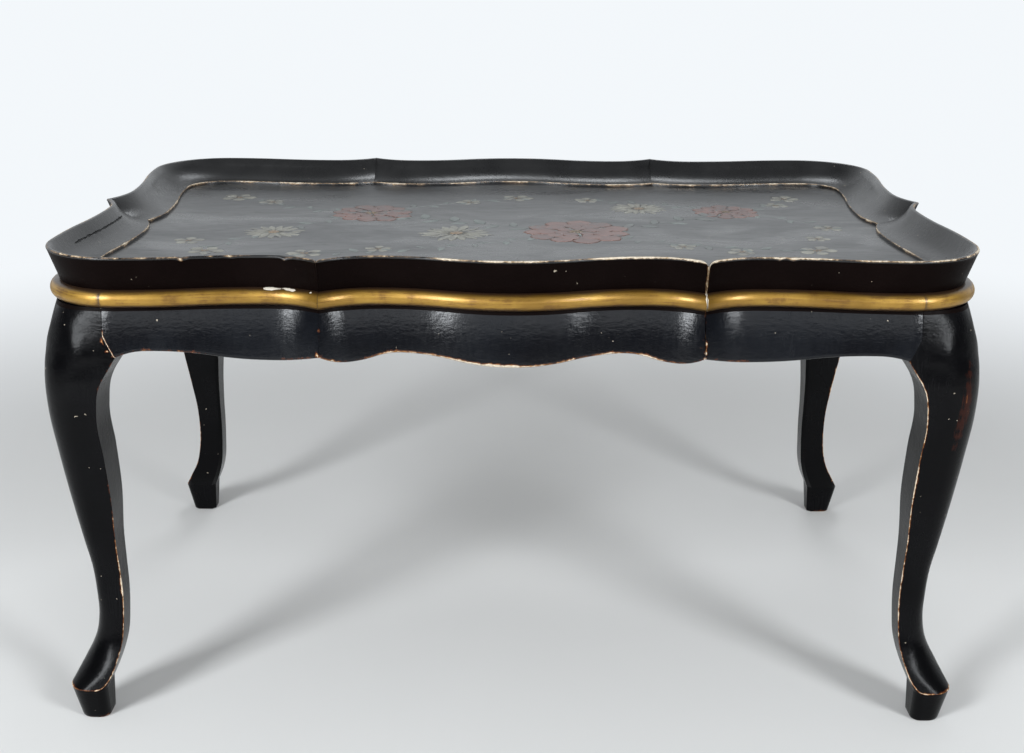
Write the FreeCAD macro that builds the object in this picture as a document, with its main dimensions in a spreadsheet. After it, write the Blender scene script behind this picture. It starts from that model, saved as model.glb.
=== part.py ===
import FreeCAD
import Part
import Sketcher
import math
import os

# Tray top tea table. Millimetres, Z up, origin on the floor under the middle of the tray.
# The plan line is the table at its widest: it swells in lobes, and where two hollows meet
# it runs out to a sharp cusp. Every long piece is shaped along that line.

document = FreeCAD.newDocument("tray_top_tea_table")
sheet = document.addObject("Spreadsheet::Sheet", "Sizes")

sizes = [
    # plan line
    ("half_width", "455", "middle to the side of a corner lobe"),
    ("half_depth", "297", "middle to the front of a corner lobe"),
    ("corner_radius", "82", "corner lobe"),
    ("cusp_offset", "181", "front cusps, each way from the middle"),
    ("cusp_run", "52", "cusp to the bottom of the hollow beside it"),
    ("cusp_rise", "22", "front hollow to the tip of the cusp"),
    ("side_cusp_rise", "16", "side hollow to the tip of the cusp"),
    ("front_hollow", "14", "front lobe to the hollow beside it"),
    ("centre_rise", "21", "front hollow to the middle lobe"),
    ("side_hollow", "12", "side lobe to the hollow beside it"),
    # heights
    ("table_height", "488", "floor to the lip of the tray"),
    ("rim_height", "33", "foot to lip of the tray rim"),
    ("moulding_height", "17", "gilt moulding under the tray"),
    # tray
    ("lip_inset", "2", "plan line to the lip"),
    ("foot_inset", "13", "plan line to the foot of the rim"),
    ("lip_thickness", "5", "edge of the lip"),
    ("border_width", "40", "lip to the inner edge of the border"),
    ("border_drop", "24", "lip down to the inner edge of the border"),
    ("floor_drop", "27.5", "lip down to the tray floor"),
    ("floor_thickness", "11.5", "tray floor board"),
    ("rim_wall", "18", "bottom of a front hollow to the rebate behind it"),
    ("side_rim_wall", "26", "bottom of a side hollow to the rebate behind it"),
    ("floor_gap", "0.3", "floor board to the rebate round it"),
    # moulding
    ("moulding_inset", "3", "plan line to the nose of the moulding"),
    # aprons
    ("swell", "10", "how far an apron falls back at its top"),
    ("knee_drop", "73", "apron top to the widest line of the knee"),
    ("apron_thickness", "50", "plan line at a lobe to the flat back of the apron"),
    ("scallop_low_drop", "52.5", "apron top to the low points of its edge"),
    ("scallop_high_drop", "44", "apron top to the nicks and crests of its edge"),
    ("arch_drop", "38", "apron top to the arch beside the leg"),
    ("spring_drop", "47", "apron top to the foot of the arch on the leg's ear"),
    ("scallop_run", "47", "cusp to the low point outside it"),
    ("arch_run", "28", "top of the arch to its foot"),
    # joints of the frame
    ("tenon_length", "25", "apron tenon"),
    ("tenon_thickness", "10", "apron tenon"),
    ("tenon_height", "30", "apron tenon"),
    ("tenon_inset", "16", "back of the apron to the middle of its tenon"),
    ("tenon_drop", "8", "apron top to the top of the tenon"),
    ("joint_gap", "0.2", "play round tenons and tongues"),
    ("tip_gap", "1", "space past the end of a tenon or tongue"),
    # legs
    ("post_size", "69", "square of the leg between the aprons"),
    ("ear_run", "11", "how far the leg's ear reaches under the apron"),
    ("ear_rise", "21", "slanting part of the seam over the ear"),
    ("knee_width", "64", "leg at the knee"),
    ("ankle_height", "130", "floor to the thinnest place"),
    ("ankle_set_back", "30", "knee line to the ankle"),
    ("ankle_width", "29.5", "leg at the ankle"),
    ("toe_height", "36", "floor to the edge of the toe"),
    ("toe_set_back", "1.5", "knee line to the edge of the toe"),
    ("toe_width", "38.5", "foot at the edge of the toe"),
    ("sole_set_back", "10", "knee line to the sole"),
    ("sole_width", "29", "foot on the floor"),
    # inside the frame
    ("block_leg", "80", "corner block along each apron"),
    ("bearer_offset", "110", "middle of the table to a bearer"),
    ("bearer_width", "40", "bearer"),
    ("bearer_height", "26", "bearer"),
    ("stub_length", "10", "stub tenon of a bearer"),
    ("stub_width", "24", "stub tenon of a bearer"),
    ("stub_height", "12", "stub tenon of a bearer"),
    ("joint_block_width", "60", "block behind a cusp joint"),
    ("joint_block_thickness", "18", "block behind a cusp joint"),
    ("joint_block_height", "38", "block behind a cusp joint"),
    ("joint_block_drop", "3", "apron top to a block behind a cusp joint"),
    ("tongue_length", "40", "loose tongue of an apron joint"),
    ("tongue_thickness", "10", "loose tongue of an apron joint"),
    ("tongue_height", "26", "loose tongue of an apron joint"),
    ("tongue_set_in", "36", "cusp to the middle of an apron tongue"),
    ("tongue_drop", "10", "apron top to the top of an apron tongue"),
    ("rim_tongue_length", "20", "loose tongue of a rim joint"),
    ("rim_tongue_thickness", "6", "loose tongue of a rim joint"),
    ("rim_tongue_height", "6", "loose tongue of a rim joint"),
    ("rim_tongue_set_in", "34", "cusp to the middle of a rim tongue"),
    ("rim_tongue_rise", "3.5", "foot of the rim to the foot of its tongue"),
    ("overrun", "20", "how far a cut runs past the piece"),
]
for row, (alias, text, note) in enumerate(sizes, 1):
    sheet.set(f"A{row}", note)
    sheet.set(f"B{row}", text)
    sheet.setAlias(f"B{row}", alias)
document.recompute()


def size(alias):
    return f"Sizes.{alias}"


def number(expression):
    found = sheet.evalExpression(expression)
    return float(getattr(found, "Value", found))


# Places that several pieces share, written once as expressions over the sheet.
lip = size("table_height")
seat = f"({lip} - {size('rim_height')})"
apron_top = f"({seat} - {size('moulding_height')})"
knee = f"({apron_top} - {size('knee_drop')})"
floor_top = f"({lip} - {size('floor_drop')})"
floor_under = f"({floor_top} - {size('floor_thickness')})"
spring = f"({apron_top} - {size('spring_drop')})"
ear_top = f"({spring} + {size('ear_rise')})"
lobe_x = f"({size('half_width')} - {size('corner_radius')})"
lobe_w = f"({size('half_depth')} - {size('corner_radius')})"
post_x = f"({size('half_width')} - {size('post_size')})"
post_w = f"({size('half_depth')} - {size('post_size')})"
ear_x = f"({post_x} - {size('ear_run')})"
ear_w = f"({post_w} - {size('ear_run')})"
front_back = f"({size('half_depth')} - {size('apron_thickness')})"
side_back = f"({size('half_width')} - {size('apron_thickness')})"
front_valley = f"({size('half_depth')} - {size('front_hollow')})"
side_valley = f"({size('half_width')} - {size('side_hollow')})"
front_cusp_reach = f"({front_valley} + {size('cusp_rise')})"
centre_reach = f"({front_valley} + {size('centre_rise')})"
side_cusp_reach = f"({side_valley} + {size('side_cusp_rise')})"
rebate_x = f"({side_valley} - {size('side_rim_wall')})"
rebate_y = f"({front_valley} - {size('rim_wall')})"
overrun = size("overrun")
spare = f"({overrun} / 5)"


def ease_radius(run, rise):
    # radius of an arc that leaves level and climbs by rise over run
    return f"((({run}) ^ 2 + ({rise}) ^ 2) / (2 * ({rise})))"


def sway_radius(run, rise):
    # radius of two equal arcs that climb by rise over run and end level
    return f"((({run}) ^ 2 + ({rise}) ^ 2) / (4 * ({rise})))"


def halfway(first, second):
    return tuple(f"(({a} + {b}) / 2)" for a, b in zip(first, second))


def outwards(point):
    # a point of the front, given as its place along x and its reach
    return point[0], f"(-{point[1]})"


def sway_between(low, high):
    return sway_radius(f"{high[0]} - {low[0]}", f"{high[1]} - {low[1]}")


def plan_line():
    # the front right quarter from the middle of the front to the side cusp, as points and the
    # radii of the arcs between them; +1 has the centre on the left of the way, which is inside
    run = size("cusp_run")
    cusp = size("cusp_offset")
    tight = ease_radius(run, size("cusp_rise"))
    side_tight = ease_radius(run, size("side_cusp_rise"))
    inner_hollow = (f"({cusp} - {run})", front_valley)
    middle_lobe = ("0", centre_reach)
    outer_hollow = (f"({cusp} + {run})", front_valley)
    front_lobe = (lobe_x, size("half_depth"))
    side_lobe = (f"(-{lobe_w})", size("half_width"))
    side_hollow = (f"(-{run})", side_valley)
    centre = sway_between(inner_hollow, middle_lobe)
    lobe = sway_between(outer_hollow, front_lobe)
    side = sway_between(side_hollow, side_lobe)
    points = [
        outwards(halfway(middle_lobe, inner_hollow)),
        outwards(inner_hollow),
        (cusp, f"(-{front_cusp_reach})"),
        outwards(outer_hollow),
        outwards(halfway(outer_hollow, front_lobe)),
        outwards(front_lobe),
        side_lobe[::-1],
        halfway(side_lobe, side_hollow)[::-1],
        side_hollow[::-1],
        (side_cusp_reach, "0"),
    ]
    arcs = [
        (centre, -1),
        (tight, -1),
        (tight, -1),
        (lobe, -1),
        (lobe, 1),
        (size("corner_radius"), 1),
        (side, 1),
        (side, -1),
        (side_tight, -1),
    ]
    return points, arcs, (centre, 1)


def flipped(points):
    return [(f"(-{x})", y) for x, y in reversed(points)]


plan_points, plan_arcs, plan_middle = plan_line()
front_stretch = (
    flipped(plan_points[:3]) + plan_points[:3],
    plan_arcs[1::-1] + [plan_middle] + plan_arcs[:2],
)
front_right_stretch = (plan_points[2:7], plan_arcs[2:6])
corner_stretch = (plan_points[5:7], plan_arcs[5:6])
right_front_stretch = (plan_points[5:], plan_arcs[5:])
long_corner_stretch = (plan_points[2:], plan_arcs[2:])


def new_body(name):
    return document.addObject("PartDesign::Body", name)


def plane(body, role):
    for feature in body.Origin.OriginFeatures:
        if feature.Role == role:
            return feature
    raise ValueError(role)


def new_sketch(body, name, role, height):
    sketch = body.newObject("Sketcher::SketchObject", name)
    sketch.AttachmentSupport = [(plane(body, role), "")]
    sketch.MapMode = "FlatFace"
    sketch.setExpression("AttachmentOffset.Base.z", height)
    return sketch


def edge_between(start, end, arc):
    begin = FreeCAD.Vector(start[0], start[1], 0)
    finish = FreeCAD.Vector(end[0], end[1], 0)
    if arc is None:
        return Part.LineSegment(begin, finish), False
    radius = number(arc[0])
    side = arc[1]
    along = finish - begin
    half = along.Length / 2
    normal = FreeCAD.Vector(-along.y, along.x, 0).normalize()
    centre = begin + along * 0.5 + normal * (side * math.sqrt(max(radius ** 2 - half ** 2, 0)))
    circle = Part.Circle(centre, FreeCAD.Vector(0, 0, 1), radius)
    angles = [math.atan2(point.y - centre.y, point.x - centre.x) for point in (begin, finish)]
    if side < 0:
        angles.reverse()
    if angles[1] < angles[0]:
        angles[1] += 2 * math.pi
    return Part.ArcOfCircle(circle, angles[0], angles[1]), side < 0


def draw(sketch, points, arcs, closed=True):
    # a chain of lines and arcs with every point and radius bound to the sheet
    places = [(number(x), number(y)) for x, y in points]
    count = len(points) if closed else len(points) - 1
    bound = []
    ends = []
    for index in range(count):
        after = (index + 1) % len(points)
        edge, turned = edge_between(places[index], places[after], arcs[index])
        geometry = sketch.addGeometry(edge)
        ends.append((geometry, 2, 1) if turned else (geometry, 1, 2))
    for index, (geometry, first, last) in enumerate(ends):
        for kind, axis in (("DistanceX", 0), ("DistanceY", 1)):
            held = Sketcher.Constraint(kind, geometry, first, places[index][axis])
            bound.append((sketch.addConstraint(held), points[index][axis]))
        if arcs[index] is not None:
            held = Sketcher.Constraint("Radius", geometry, number(arcs[index][0]))
            bound.append((sketch.addConstraint(held), arcs[index][0]))
        if index or closed:
            before, _, before_last = ends[index - 1]
            sketch.addConstraint(Sketcher.Constraint("Coincident", before, before_last, geometry, first))
    if not closed:
        geometry, _, last = ends[-1]
        for kind, axis in (("DistanceX", 0), ("DistanceY", 1)):
            held = Sketcher.Constraint(kind, geometry, last, places[-1][axis])
            bound.append((sketch.addConstraint(held), points[-1][axis]))
    for held, expression in bound:
        sketch.setExpression(f"Constraints[{held}]", expression)
    return sketch


def sweep(body, stretch, cut, section):
    # section lists (inset, height) points and arcs; cut says where it stands on the stretch
    role, height, reach, outward = cut
    spine = draw(new_sketch(body, "Line", "XY_Plane", "0"), stretch[0], stretch[1], closed=False)
    points, arcs = section
    places = [(f"({outward} * ({reach} - ({inset})))", rise) for inset, rise in points]
    turned = [None if arc is None else (arc[0], -outward * arc[1]) for arc in arcs]
    profile = draw(new_sketch(body, "Section", role, height), places, turned)
    pipe = body.newObject("PartDesign::AdditivePipe", "Run")
    pipe.Profile = profile
    pipe.Spine = (spine, [""])
    return pipe


def box(body, name, kind, corner, spans):
    solid = body.newObject(f"PartDesign::{kind}Box", name)
    for axis, place in zip("xyz", corner):
        solid.setExpression(f"Placement.Base.{axis}", place)
    for side, span in zip(("Length", "Width", "Height"), spans):
        solid.setExpression(side, span)
    return solid


def cut_beyond(body, name, axis, place, forward):
    # takes off all that lies past a plane across x or y
    reach = f"(2 * {size('half_width')})"
    far = f"(2 * {reach})"
    start = place if forward else f"({place} - {far})"
    corner = [f"(-{reach})", f"(-{reach})", "0"]
    corner["xy".index(axis)] = start
    return box(body, name, "Subtractive", corner, (far, far, f"({lip} + {overrun})"))


nodes = []


def node(name, thing):
    thing.Label = name
    nodes.append(thing)
    return thing


def mirror(name, source, axis, keep=True):
    copy = document.addObject("Part::Mirroring", name)
    copy.Source = source
    copy.Normal = FreeCAD.Vector(1, 0, 0) if axis == "x" else FreeCAD.Vector(0, 1, 0)
    return node(name, copy) if keep else copy


def in_all_corners(stem, source):
    # a piece of the front right corner and its three mirror images
    node(f"{stem}_front_right", source)
    left = mirror(f"{stem}_front_left", source, "x")
    mirror(f"{stem}_back_right", source, "y")
    mirror(f"{stem}_back_left", left, "y")


def on_sides(stem, source):
    node(f"{stem}_right_front", source)
    left = mirror(f"{stem}_left_front", source, "x")
    mirror(f"{stem}_right_back", source, "y")
    mirror(f"{stem}_left_back", left, "y")


def front_and_back(stem, source):
    node(f"{stem}_front_centre", source)
    mirror(f"{stem}_back_centre", source, "y")


# Where a section stands: sketch plane, its height, the reach of the plan line there and the
# way that the sketch runs outwards.
centre_cut = ("YZ_Plane", "0", centre_reach, -1)
lobe_cut = ("YZ_Plane", lobe_x, size("half_depth"), -1)
side_cut = ("XZ_Plane", lobe_w, size("half_width"), 1)

# Tray rim: a leaning outer wall, a flat lip, a cove down to the border's inner edge, and a
# rebate below for the floor board.
cove_shares = (0.76, 0.41)
inner_edge = f"({size('lip_inset')} + {size('border_width')})"
cove_start = f"({size('lip_inset')} + {size('lip_thickness')})"
cove_run = f"({inner_edge} - {cove_start})"
cove_radius = ease_radius(cove_run, size("border_drop"))
cove_foot = f"({lip} - {size('border_drop')})"


def cove_point(share):
    run = f"({cove_run} * {share})"
    rise = f"({cove_radius} - sqrt({cove_radius} ^ 2 - {run} ^ 2))"
    return f"({inner_edge} - {run})", f"({cove_foot} + {rise})"


rim_points = [
    (size("foot_inset"), seat),
    (size("lip_inset"), lip),
    (cove_start, lip),
    *[cove_point(share) for share in cove_shares],
    (inner_edge, cove_foot),
    (inner_edge, seat),
]
rim_section = (rim_points, [None] * len(rim_points))
cusp_x = size("cusp_offset")
rim_tongue_foot = f"({seat} + {size('rim_tongue_rise')})"
rim_tongue_y = f"({size('rim_tongue_set_in')} - {front_cusp_reach})"
rim_tongue_x = f"({side_cusp_reach} - {size('rim_tongue_set_in')})"
rim_tongue = (size("rim_tongue_length"), size("rim_tongue_thickness"), size("rim_tongue_height"))


def tongue_box(middle, foot, spans, along, play, tip):
    # corner and spans of a loose tongue or of the slot round it, lying along x or y
    length, thickness, height = spans
    long_span = f"({length} + 2 * {tip})"
    thin_span = f"({thickness} + 2 * {play})"
    tall_span = f"({height} + 2 * {play})"
    wide = (long_span, thin_span) if along == "x" else (thin_span, long_span)
    corner = [f"({place} - {span} / 2)" for place, span in zip(middle, wide)]
    return (*corner, f"({foot} - {play})"), (*wide, tall_span)


def slot(body, name, middle, foot, spans, along):
    corner, room = tongue_box(middle, foot, spans, along, size("joint_gap"), size("tip_gap"))
    return box(body, name, "Subtractive", corner, room)


def cut_rebate(body):
    # straight rebate for the edges of the floor board
    corner = (f"(-{rebate_x})", f"(-{rebate_y})", f"({seat} - {overrun})")
    spans = (f"(2 * {rebate_x})", f"(2 * {rebate_y})", f"({floor_top} - {seat} + {overrun})")
    return box(body, "Rebate", "Subtractive", corner, spans)


rim_front = new_body("RimFront")
sweep(rim_front, front_stretch, centre_cut, rim_section)
cut_beyond(rim_front, "RightMitre", "x", cusp_x, True)
cut_beyond(rim_front, "LeftMitre", "x", f"(-{cusp_x})", False)
cut_rebate(rim_front)
slot(rim_front, "RightSlot", (cusp_x, rim_tongue_y), rim_tongue_foot, rim_tongue, "x")
slot(rim_front, "LeftSlot", (f"(-{cusp_x})", rim_tongue_y), rim_tongue_foot, rim_tongue, "x")
front_and_back("rim", rim_front)

rim_corner = new_body("RimCorner")
sweep(rim_corner, long_corner_stretch, lobe_cut, rim_section)
cut_beyond(rim_corner, "FrontMitre", "x", cusp_x, False)
cut_beyond(rim_corner, "SideMitre", "y", "0", True)
cut_rebate(rim_corner)
slot(rim_corner, "FrontSlot", (cusp_x, rim_tongue_y), rim_tongue_foot, rim_tongue, "x")
slot(rim_corner, "SideSlot", (rim_tongue_x, "0"), rim_tongue_foot, rim_tongue, "y")
in_all_corners("rim_corner", rim_corner)

# Gilt moulding: a nose rounded in four flats with a flat back, in lengths that meet at the cusps
# and over the joints of legs and aprons.
nose_share = 0.293
nose = f"({size('moulding_height')} / 2)"
nose_start = f"({size('moulding_inset')} + {nose})"
nose_ease = f"({nose} * {nose_share})"
nose_side = f"({size('moulding_inset')} + {nose_ease})"

def moulding_section(deep):
    points = [
        (nose_start, apron_top),
        (nose_side, f"({apron_top} + {nose_ease})"),
        (size("moulding_inset"), f"({apron_top} + {nose})"),
        (nose_side, f"({seat} - {nose_ease})"),
        (nose_start, seat),
        (deep, seat),
        (deep, apron_top),
    ]
    return points, [None] * len(points)


middle_moulding = moulding_section(f"({centre_reach} - {rebate_y} + {spare})")
front_moulding = moulding_section(f"({size('half_depth')} - {rebate_y} + {spare})")
side_moulding = moulding_section(f"({size('half_width')} - {rebate_x} + {spare})")
moulding_front = new_body("MouldingFront")
sweep(moulding_front, front_stretch, centre_cut, middle_moulding)
cut_beyond(moulding_front, "RightMitre", "x", cusp_x, True)
cut_beyond(moulding_front, "LeftMitre", "x", f"(-{cusp_x})", False)
cut_beyond(moulding_front, "Back", "y", f"(-{rebate_y})", True)
front_and_back("moulding", moulding_front)

moulding_front_right = new_body("MouldingFrontRight")
sweep(moulding_front_right, front_right_stretch, lobe_cut, front_moulding)
cut_beyond(moulding_front_right, "Mitre", "x", cusp_x, False)
cut_beyond(moulding_front_right, "Seam", "x", post_x, True)
cut_beyond(moulding_front_right, "Back", "y", f"(-{rebate_y})", True)
in_all_corners("moulding", moulding_front_right)

moulding_corner = new_body("MouldingCorner")
sweep(moulding_corner, corner_stretch, lobe_cut, side_moulding)
cut_beyond(moulding_corner, "FrontSeam", "x", post_x, False)
cut_beyond(moulding_corner, "SideSeam", "y", f"(-{post_w})", True)
box(
    moulding_corner,
    "Back",
    "Subtractive",
    ("0", f"(-{rebate_y})", f"({apron_top} - {overrun})"),
    (rebate_x, rebate_y, f"({size('moulding_height')} + 2 * {overrun})"),
)
in_all_corners("moulding_corner", moulding_corner)

moulding_side = new_body("MouldingSide")
sweep(moulding_side, right_front_stretch, side_cut, side_moulding)
cut_beyond(moulding_side, "Mitre", "y", "0", True)
cut_beyond(moulding_side, "Seam", "y", f"(-{post_w})", False)
cut_beyond(moulding_side, "Back", "x", rebate_x, False)
on_sides("moulding", moulding_side)

# Aprons: the face swells from its top to the knee line, the back is sawn flat, and the lower
# edge is scalloped.
swell_radius = ease_radius(size("knee_drop"), size("swell"))
scallop_low = f"({apron_top} - {size('scallop_low_drop')})"
scallop_high = f"({apron_top} - {size('scallop_high_drop')})"
arch_top = f"({apron_top} - {size('arch_drop')})"
apron_foot = f"({knee} - {overrun})"
swell_shares = (0.35, 0.7)


def set_back(height):
    # how far the swelling face stands behind the knee line at a height above the knee
    return f"({swell_radius} - sqrt({swell_radius} ^ 2 - ({height} - {knee}) ^ 2))"


def apron_section(deep):
    face = [f"({knee} + {size('knee_drop')} * {share})" for share in swell_shares]
    points = [(size("swell"), apron_top), (deep, apron_top), (deep, knee), ("0", knee)]
    points += [(set_back(height), height) for height in face]
    return points, [None] * len(points)


lobe_section = apron_section(f"({size('apron_thickness')} + {spare})")
crest_share = 0.58
inner_low_share = 0.86
crest = f"({cusp_x} * {crest_share})"
inner_low = f"({cusp_x} * {inner_low_share})"
scallop_rise = f"({scallop_high} - {scallop_low})"


def scallop_from_cusp(start, length):
    # points and arcs of the lower edge from a cusp to the leg's ear, along +x of the sketch
    low = (f"({start} + {size('scallop_run')})", scallop_low)
    top = (f"({start} + {length} - {size('arch_run')})", arch_top)
    end = (f"({start} + {length})", spring)
    seam = (f"({start} + {length} + {size('ear_run')})", ear_top)
    nick = (start, scallop_high)
    climb = sway_radius(f"{top[0]} - {low[0]}", f"{arch_top} - {scallop_low}")
    arcs = [
        (ease_radius(size("scallop_run"), scallop_rise), 1),
        (climb, 1),
        (climb, -1),
        (ease_radius(size("arch_run"), f"{arch_top} - {spring}"), -1),
        None,
    ]
    return [nick, low, halfway(low, top), top, end, seam], arcs


def cut_scallop(body, role, points, arcs):
    # cuts the edge through the apron, with the waste taken down past its foot
    left = f"({points[0][0]} - {overrun})"
    right = f"({points[-1][0]} + {overrun})"
    loop = points + [(right, points[-1][1]), (right, apron_foot), (left, apron_foot), (left, points[0][1])]
    sketch = draw(new_sketch(body, "Edge", role, "0"), loop, arcs + [None] * 5)
    pocket = body.newObject("PartDesign::Pocket", "Scallop")
    pocket.Profile = sketch
    pocket.Type = "ThroughAll"
    pocket.Reversed = True
    return pocket


tenon_top = f"({apron_top} - {size('tenon_drop')})"
tenon_foot = f"({tenon_top} - {size('tenon_height')})"
tenon_half = f"({size('tenon_thickness')} / 2)"
front_tenon_y = f"(-({front_back} + {size('tenon_inset')} + {tenon_half}))"
side_tenon_x = f"({side_back} + {size('tenon_inset')} - {tenon_half})"
tongue_foot = f"({apron_top} - {size('tongue_drop')} - {size('tongue_height')})"
tongue_y = f"({size('tongue_set_in')} - {front_cusp_reach})"
tongue_x = f"({side_cusp_reach} - {size('tongue_set_in')})"
tongue = (size("tongue_length"), size("tongue_thickness"), size("tongue_height"))
stub_gap = size("joint_gap")
bearer_foot = f"({floor_under} - {size('bearer_height')})"
stub_corner_x = f"({size('bearer_offset')} - {size('stub_width')} / 2)"
mortise_depth = f"({size('stub_length')} + {size('tip_gap')})"

apron_front = new_body("ApronFront")
sweep(apron_front, front_stretch, centre_cut, apron_section(f"({centre_reach} - {front_back} + {spare})"))
cut_beyond(apron_front, "RightJoint", "x", cusp_x, True)
cut_beyond(apron_front, "LeftJoint", "x", f"(-{cusp_x})", False)
cut_beyond(apron_front, "Back", "y", f"(-{front_back})", True)
half_edge = [("0", scallop_low), (crest, scallop_high), (inner_low, scallop_low), (cusp_x, scallop_high)]
middle_sway = sway_radius(crest, scallop_rise)
inner_sway = sway_radius(f"{inner_low} - {crest}", scallop_rise)
nick_arc = (ease_radius(f"{cusp_x} - {inner_low}", scallop_rise), 1)
right_edge = [
    halfway(half_edge[0], half_edge[1]),
    half_edge[1],
    halfway(half_edge[1], half_edge[2]),
    half_edge[2],
    half_edge[3],
]
right_arcs = [(middle_sway, -1), (inner_sway, -1), (inner_sway, 1), nick_arc]
front_edge = flipped(right_edge) + right_edge
front_arcs = right_arcs[::-1] + [(middle_sway, 1)] + right_arcs
cut_scallop(apron_front, "XZ_Plane", front_edge, front_arcs)
slot(apron_front, "RightSlot", (cusp_x, tongue_y), tongue_foot, tongue, "x")
slot(apron_front, "LeftSlot", (f"(-{cusp_x})", tongue_y), tongue_foot, tongue, "x")
for side, corner_x in (
    ("Right", f"({stub_corner_x} - {stub_gap})"),
    ("Left", f"(-({stub_corner_x} + {size('stub_width')} + {stub_gap}))"),
):
    box(
        apron_front,
        f"{side}Mortise",
        "Subtractive",
        (corner_x, f"(-({front_back} + {mortise_depth}))", f"({bearer_foot} - {stub_gap})"),
        (
            f"({size('stub_width')} + 2 * {stub_gap})",
            f"({mortise_depth} + {overrun})",
            f"({size('stub_height')} + 2 * {stub_gap})",
        ),
    )
front_and_back("apron", apron_front)

apron_front_right = new_body("ApronFrontRight")
sweep(apron_front_right, front_right_stretch, lobe_cut, lobe_section)
cut_beyond(apron_front_right, "Joint", "x", cusp_x, False)
cut_beyond(apron_front_right, "Back", "y", f"(-{front_back})", True)
cut_beyond(apron_front_right, "Seam", "x", post_x, True)
cut_scallop(apron_front_right, "XZ_Plane", *scallop_from_cusp(cusp_x, f"({ear_x} - {cusp_x})"))
slot(apron_front_right, "Slot", (cusp_x, tongue_y), tongue_foot, tongue, "x")
box(
    apron_front_right,
    "Tenon",
    "Additive",
    (post_x, front_tenon_y, tenon_foot),
    (size("tenon_length"), size("tenon_thickness"), size("tenon_height")),
)
in_all_corners("apron", apron_front_right)

apron_side = new_body("ApronSide")
sweep(apron_side, right_front_stretch, side_cut, lobe_section)
cut_beyond(apron_side, "Joint", "y", "0", True)
cut_beyond(apron_side, "Back", "x", side_back, False)
cut_beyond(apron_side, "Seam", "y", f"(-{post_w})", False)
side_points, side_arcs = scallop_from_cusp("0", ear_w)
cut_scallop(apron_side, "YZ_Plane", flipped(side_points), side_arcs[::-1])
slot(apron_side, "Slot", (tongue_x, "0"), tongue_foot, tongue, "y")
box(
    apron_side,
    "Tenon",
    "Additive",
    (side_tenon_x, f"(-({post_w} + {size('tenon_length')}))", tenon_foot),
    (size("tenon_thickness"), size("tenon_length"), size("tenon_height")),
)
on_sides("apron", apron_side)

# Legs: a square section with an outer corner rounded in flats and a bevelled inner one, shaped from
# the post over the knee to the ankle and out to the edge of the toe, then straight down to the
# sole. Each row holds shares of the height, the set back, the width, the rounding of the outer
# corner and the bevel of the inner one.
post_shares = [(1.0, 1.0), (0.5, 0.87)]
ear_shares = [(1.0, 1.0, 0.74, 0.08), (0.54, 0.52, 0.69, 0.12)]
knee_shares = [
    (1.0, 0.0, 1.0, 0.69, 0.16),
    (0.86, 0.075, 0.745, 0.65, 0.15),
    (0.67, 0.27, 0.625, 0.57, 0.12),
    (0.46, 0.505, 0.46, 0.52, 0.10),
    (0.26, 0.765, 0.185, 0.475, 0.10),
    (0.12, 0.945, 0.035, 0.44, 0.11),
    (0.0, 1.0, 0.0, 0.41, 0.13),
]
foot_shares = [
    (0.0, 1.0, 0.0, 0.41, 0.13),
    (0.27, 0.95, 0.04, 0.39, 0.18),
    (0.56, 0.75, 0.31, 0.35, 0.31),
    (0.82, 0.32, 0.80, 0.30, 0.43),
    (1.0, 0.0, 1.0, 0.26, 0.50),
]
post_inner_share = 0.06
sole_shares = (0.24, 0.50)
corner_flats = 6


def with_halfway_rows(rows):
    # adds a row half way along a smooth curve between each two rows
    first = [2 * a - b for a, b in zip(rows[0], rows[1])]
    last = [2 * a - b for a, b in zip(rows[-1], rows[-2])]
    wide = [first, *rows, last]
    filled = [rows[0]]
    for before, start, end, after in zip(wide, wide[1:], wide[2:], wide[3:]):
        middle = [(9 * (b + c) - a - d) / 16 for a, b, c, d in zip(before, start, end, after)]
        filled += [tuple(round(share, 4) for share in middle), end]
    return filled


def leg_section(body, name, height, outer, width, outer_share, inner_share):
    inner = f"({outer} + {width})"
    outer_round = f"({width} * {outer_share})"
    inner_bevel = f"({width} * {inner_share})"
    near_x = f"({size('half_width')} - {inner})"
    far_x = f"({size('half_width')} - {outer})"
    near_y = f"({inner} - {size('half_depth')})"
    far_y = f"({outer} - {size('half_depth')})"
    points = [(near_x, f"({near_y} - {inner_bevel})"), (near_x, far_y)]
    for step in range(corner_flats + 1):
        turn = math.pi / 2 * step / corner_flats
        x_share = round(1 - math.sin(turn), 4)
        y_share = round(1 - math.cos(turn), 4)
        points.append((f"({far_x} - {outer_round} * {x_share})", f"({far_y} + {outer_round} * {y_share})"))
    points += [(far_x, near_y), (f"({near_x} + {inner_bevel})", near_y)]
    sketch = new_sketch(body, name, "XY_Plane", height)
    return draw(sketch, points, [None] * len(points))


leg = new_body("Leg")
stations = []
post_reach = f"({size('corner_radius')} + {spare})"
for share, lobe_share in post_shares:
    height = f"({spring} + {size('spring_drop')} * {share})"
    outer = set_back(height)
    width = f"({post_reach} - {outer})"
    outer_share = f"(({size('corner_radius')} - {outer}) * {lobe_share} / {width})"
    stations.append((height, outer, width, outer_share, post_inner_share))
for share, width_share, outer_share, inner_share in ear_shares:
    height = f"({knee} + ({spring} - {knee}) * {share})"
    outer = set_back(height)
    ear_width = f"({size('post_size')} + {size('ear_run')} - {outer})"
    width = f"({size('knee_width')} + ({ear_width} - {size('knee_width')}) * {width_share})"
    stations.append((height, outer, width, outer_share, inner_share))
for share, back_share, width_share, outer_share, inner_share in with_halfway_rows(knee_shares):
    height = f"({size('ankle_height')} + ({knee} - {size('ankle_height')}) * {share})"
    outer = f"({size('ankle_set_back')} * {back_share})"
    width = f"({size('ankle_width')} + ({size('knee_width')} - {size('ankle_width')}) * {width_share})"
    stations.append((height, outer, width, outer_share, inner_share))
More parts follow.
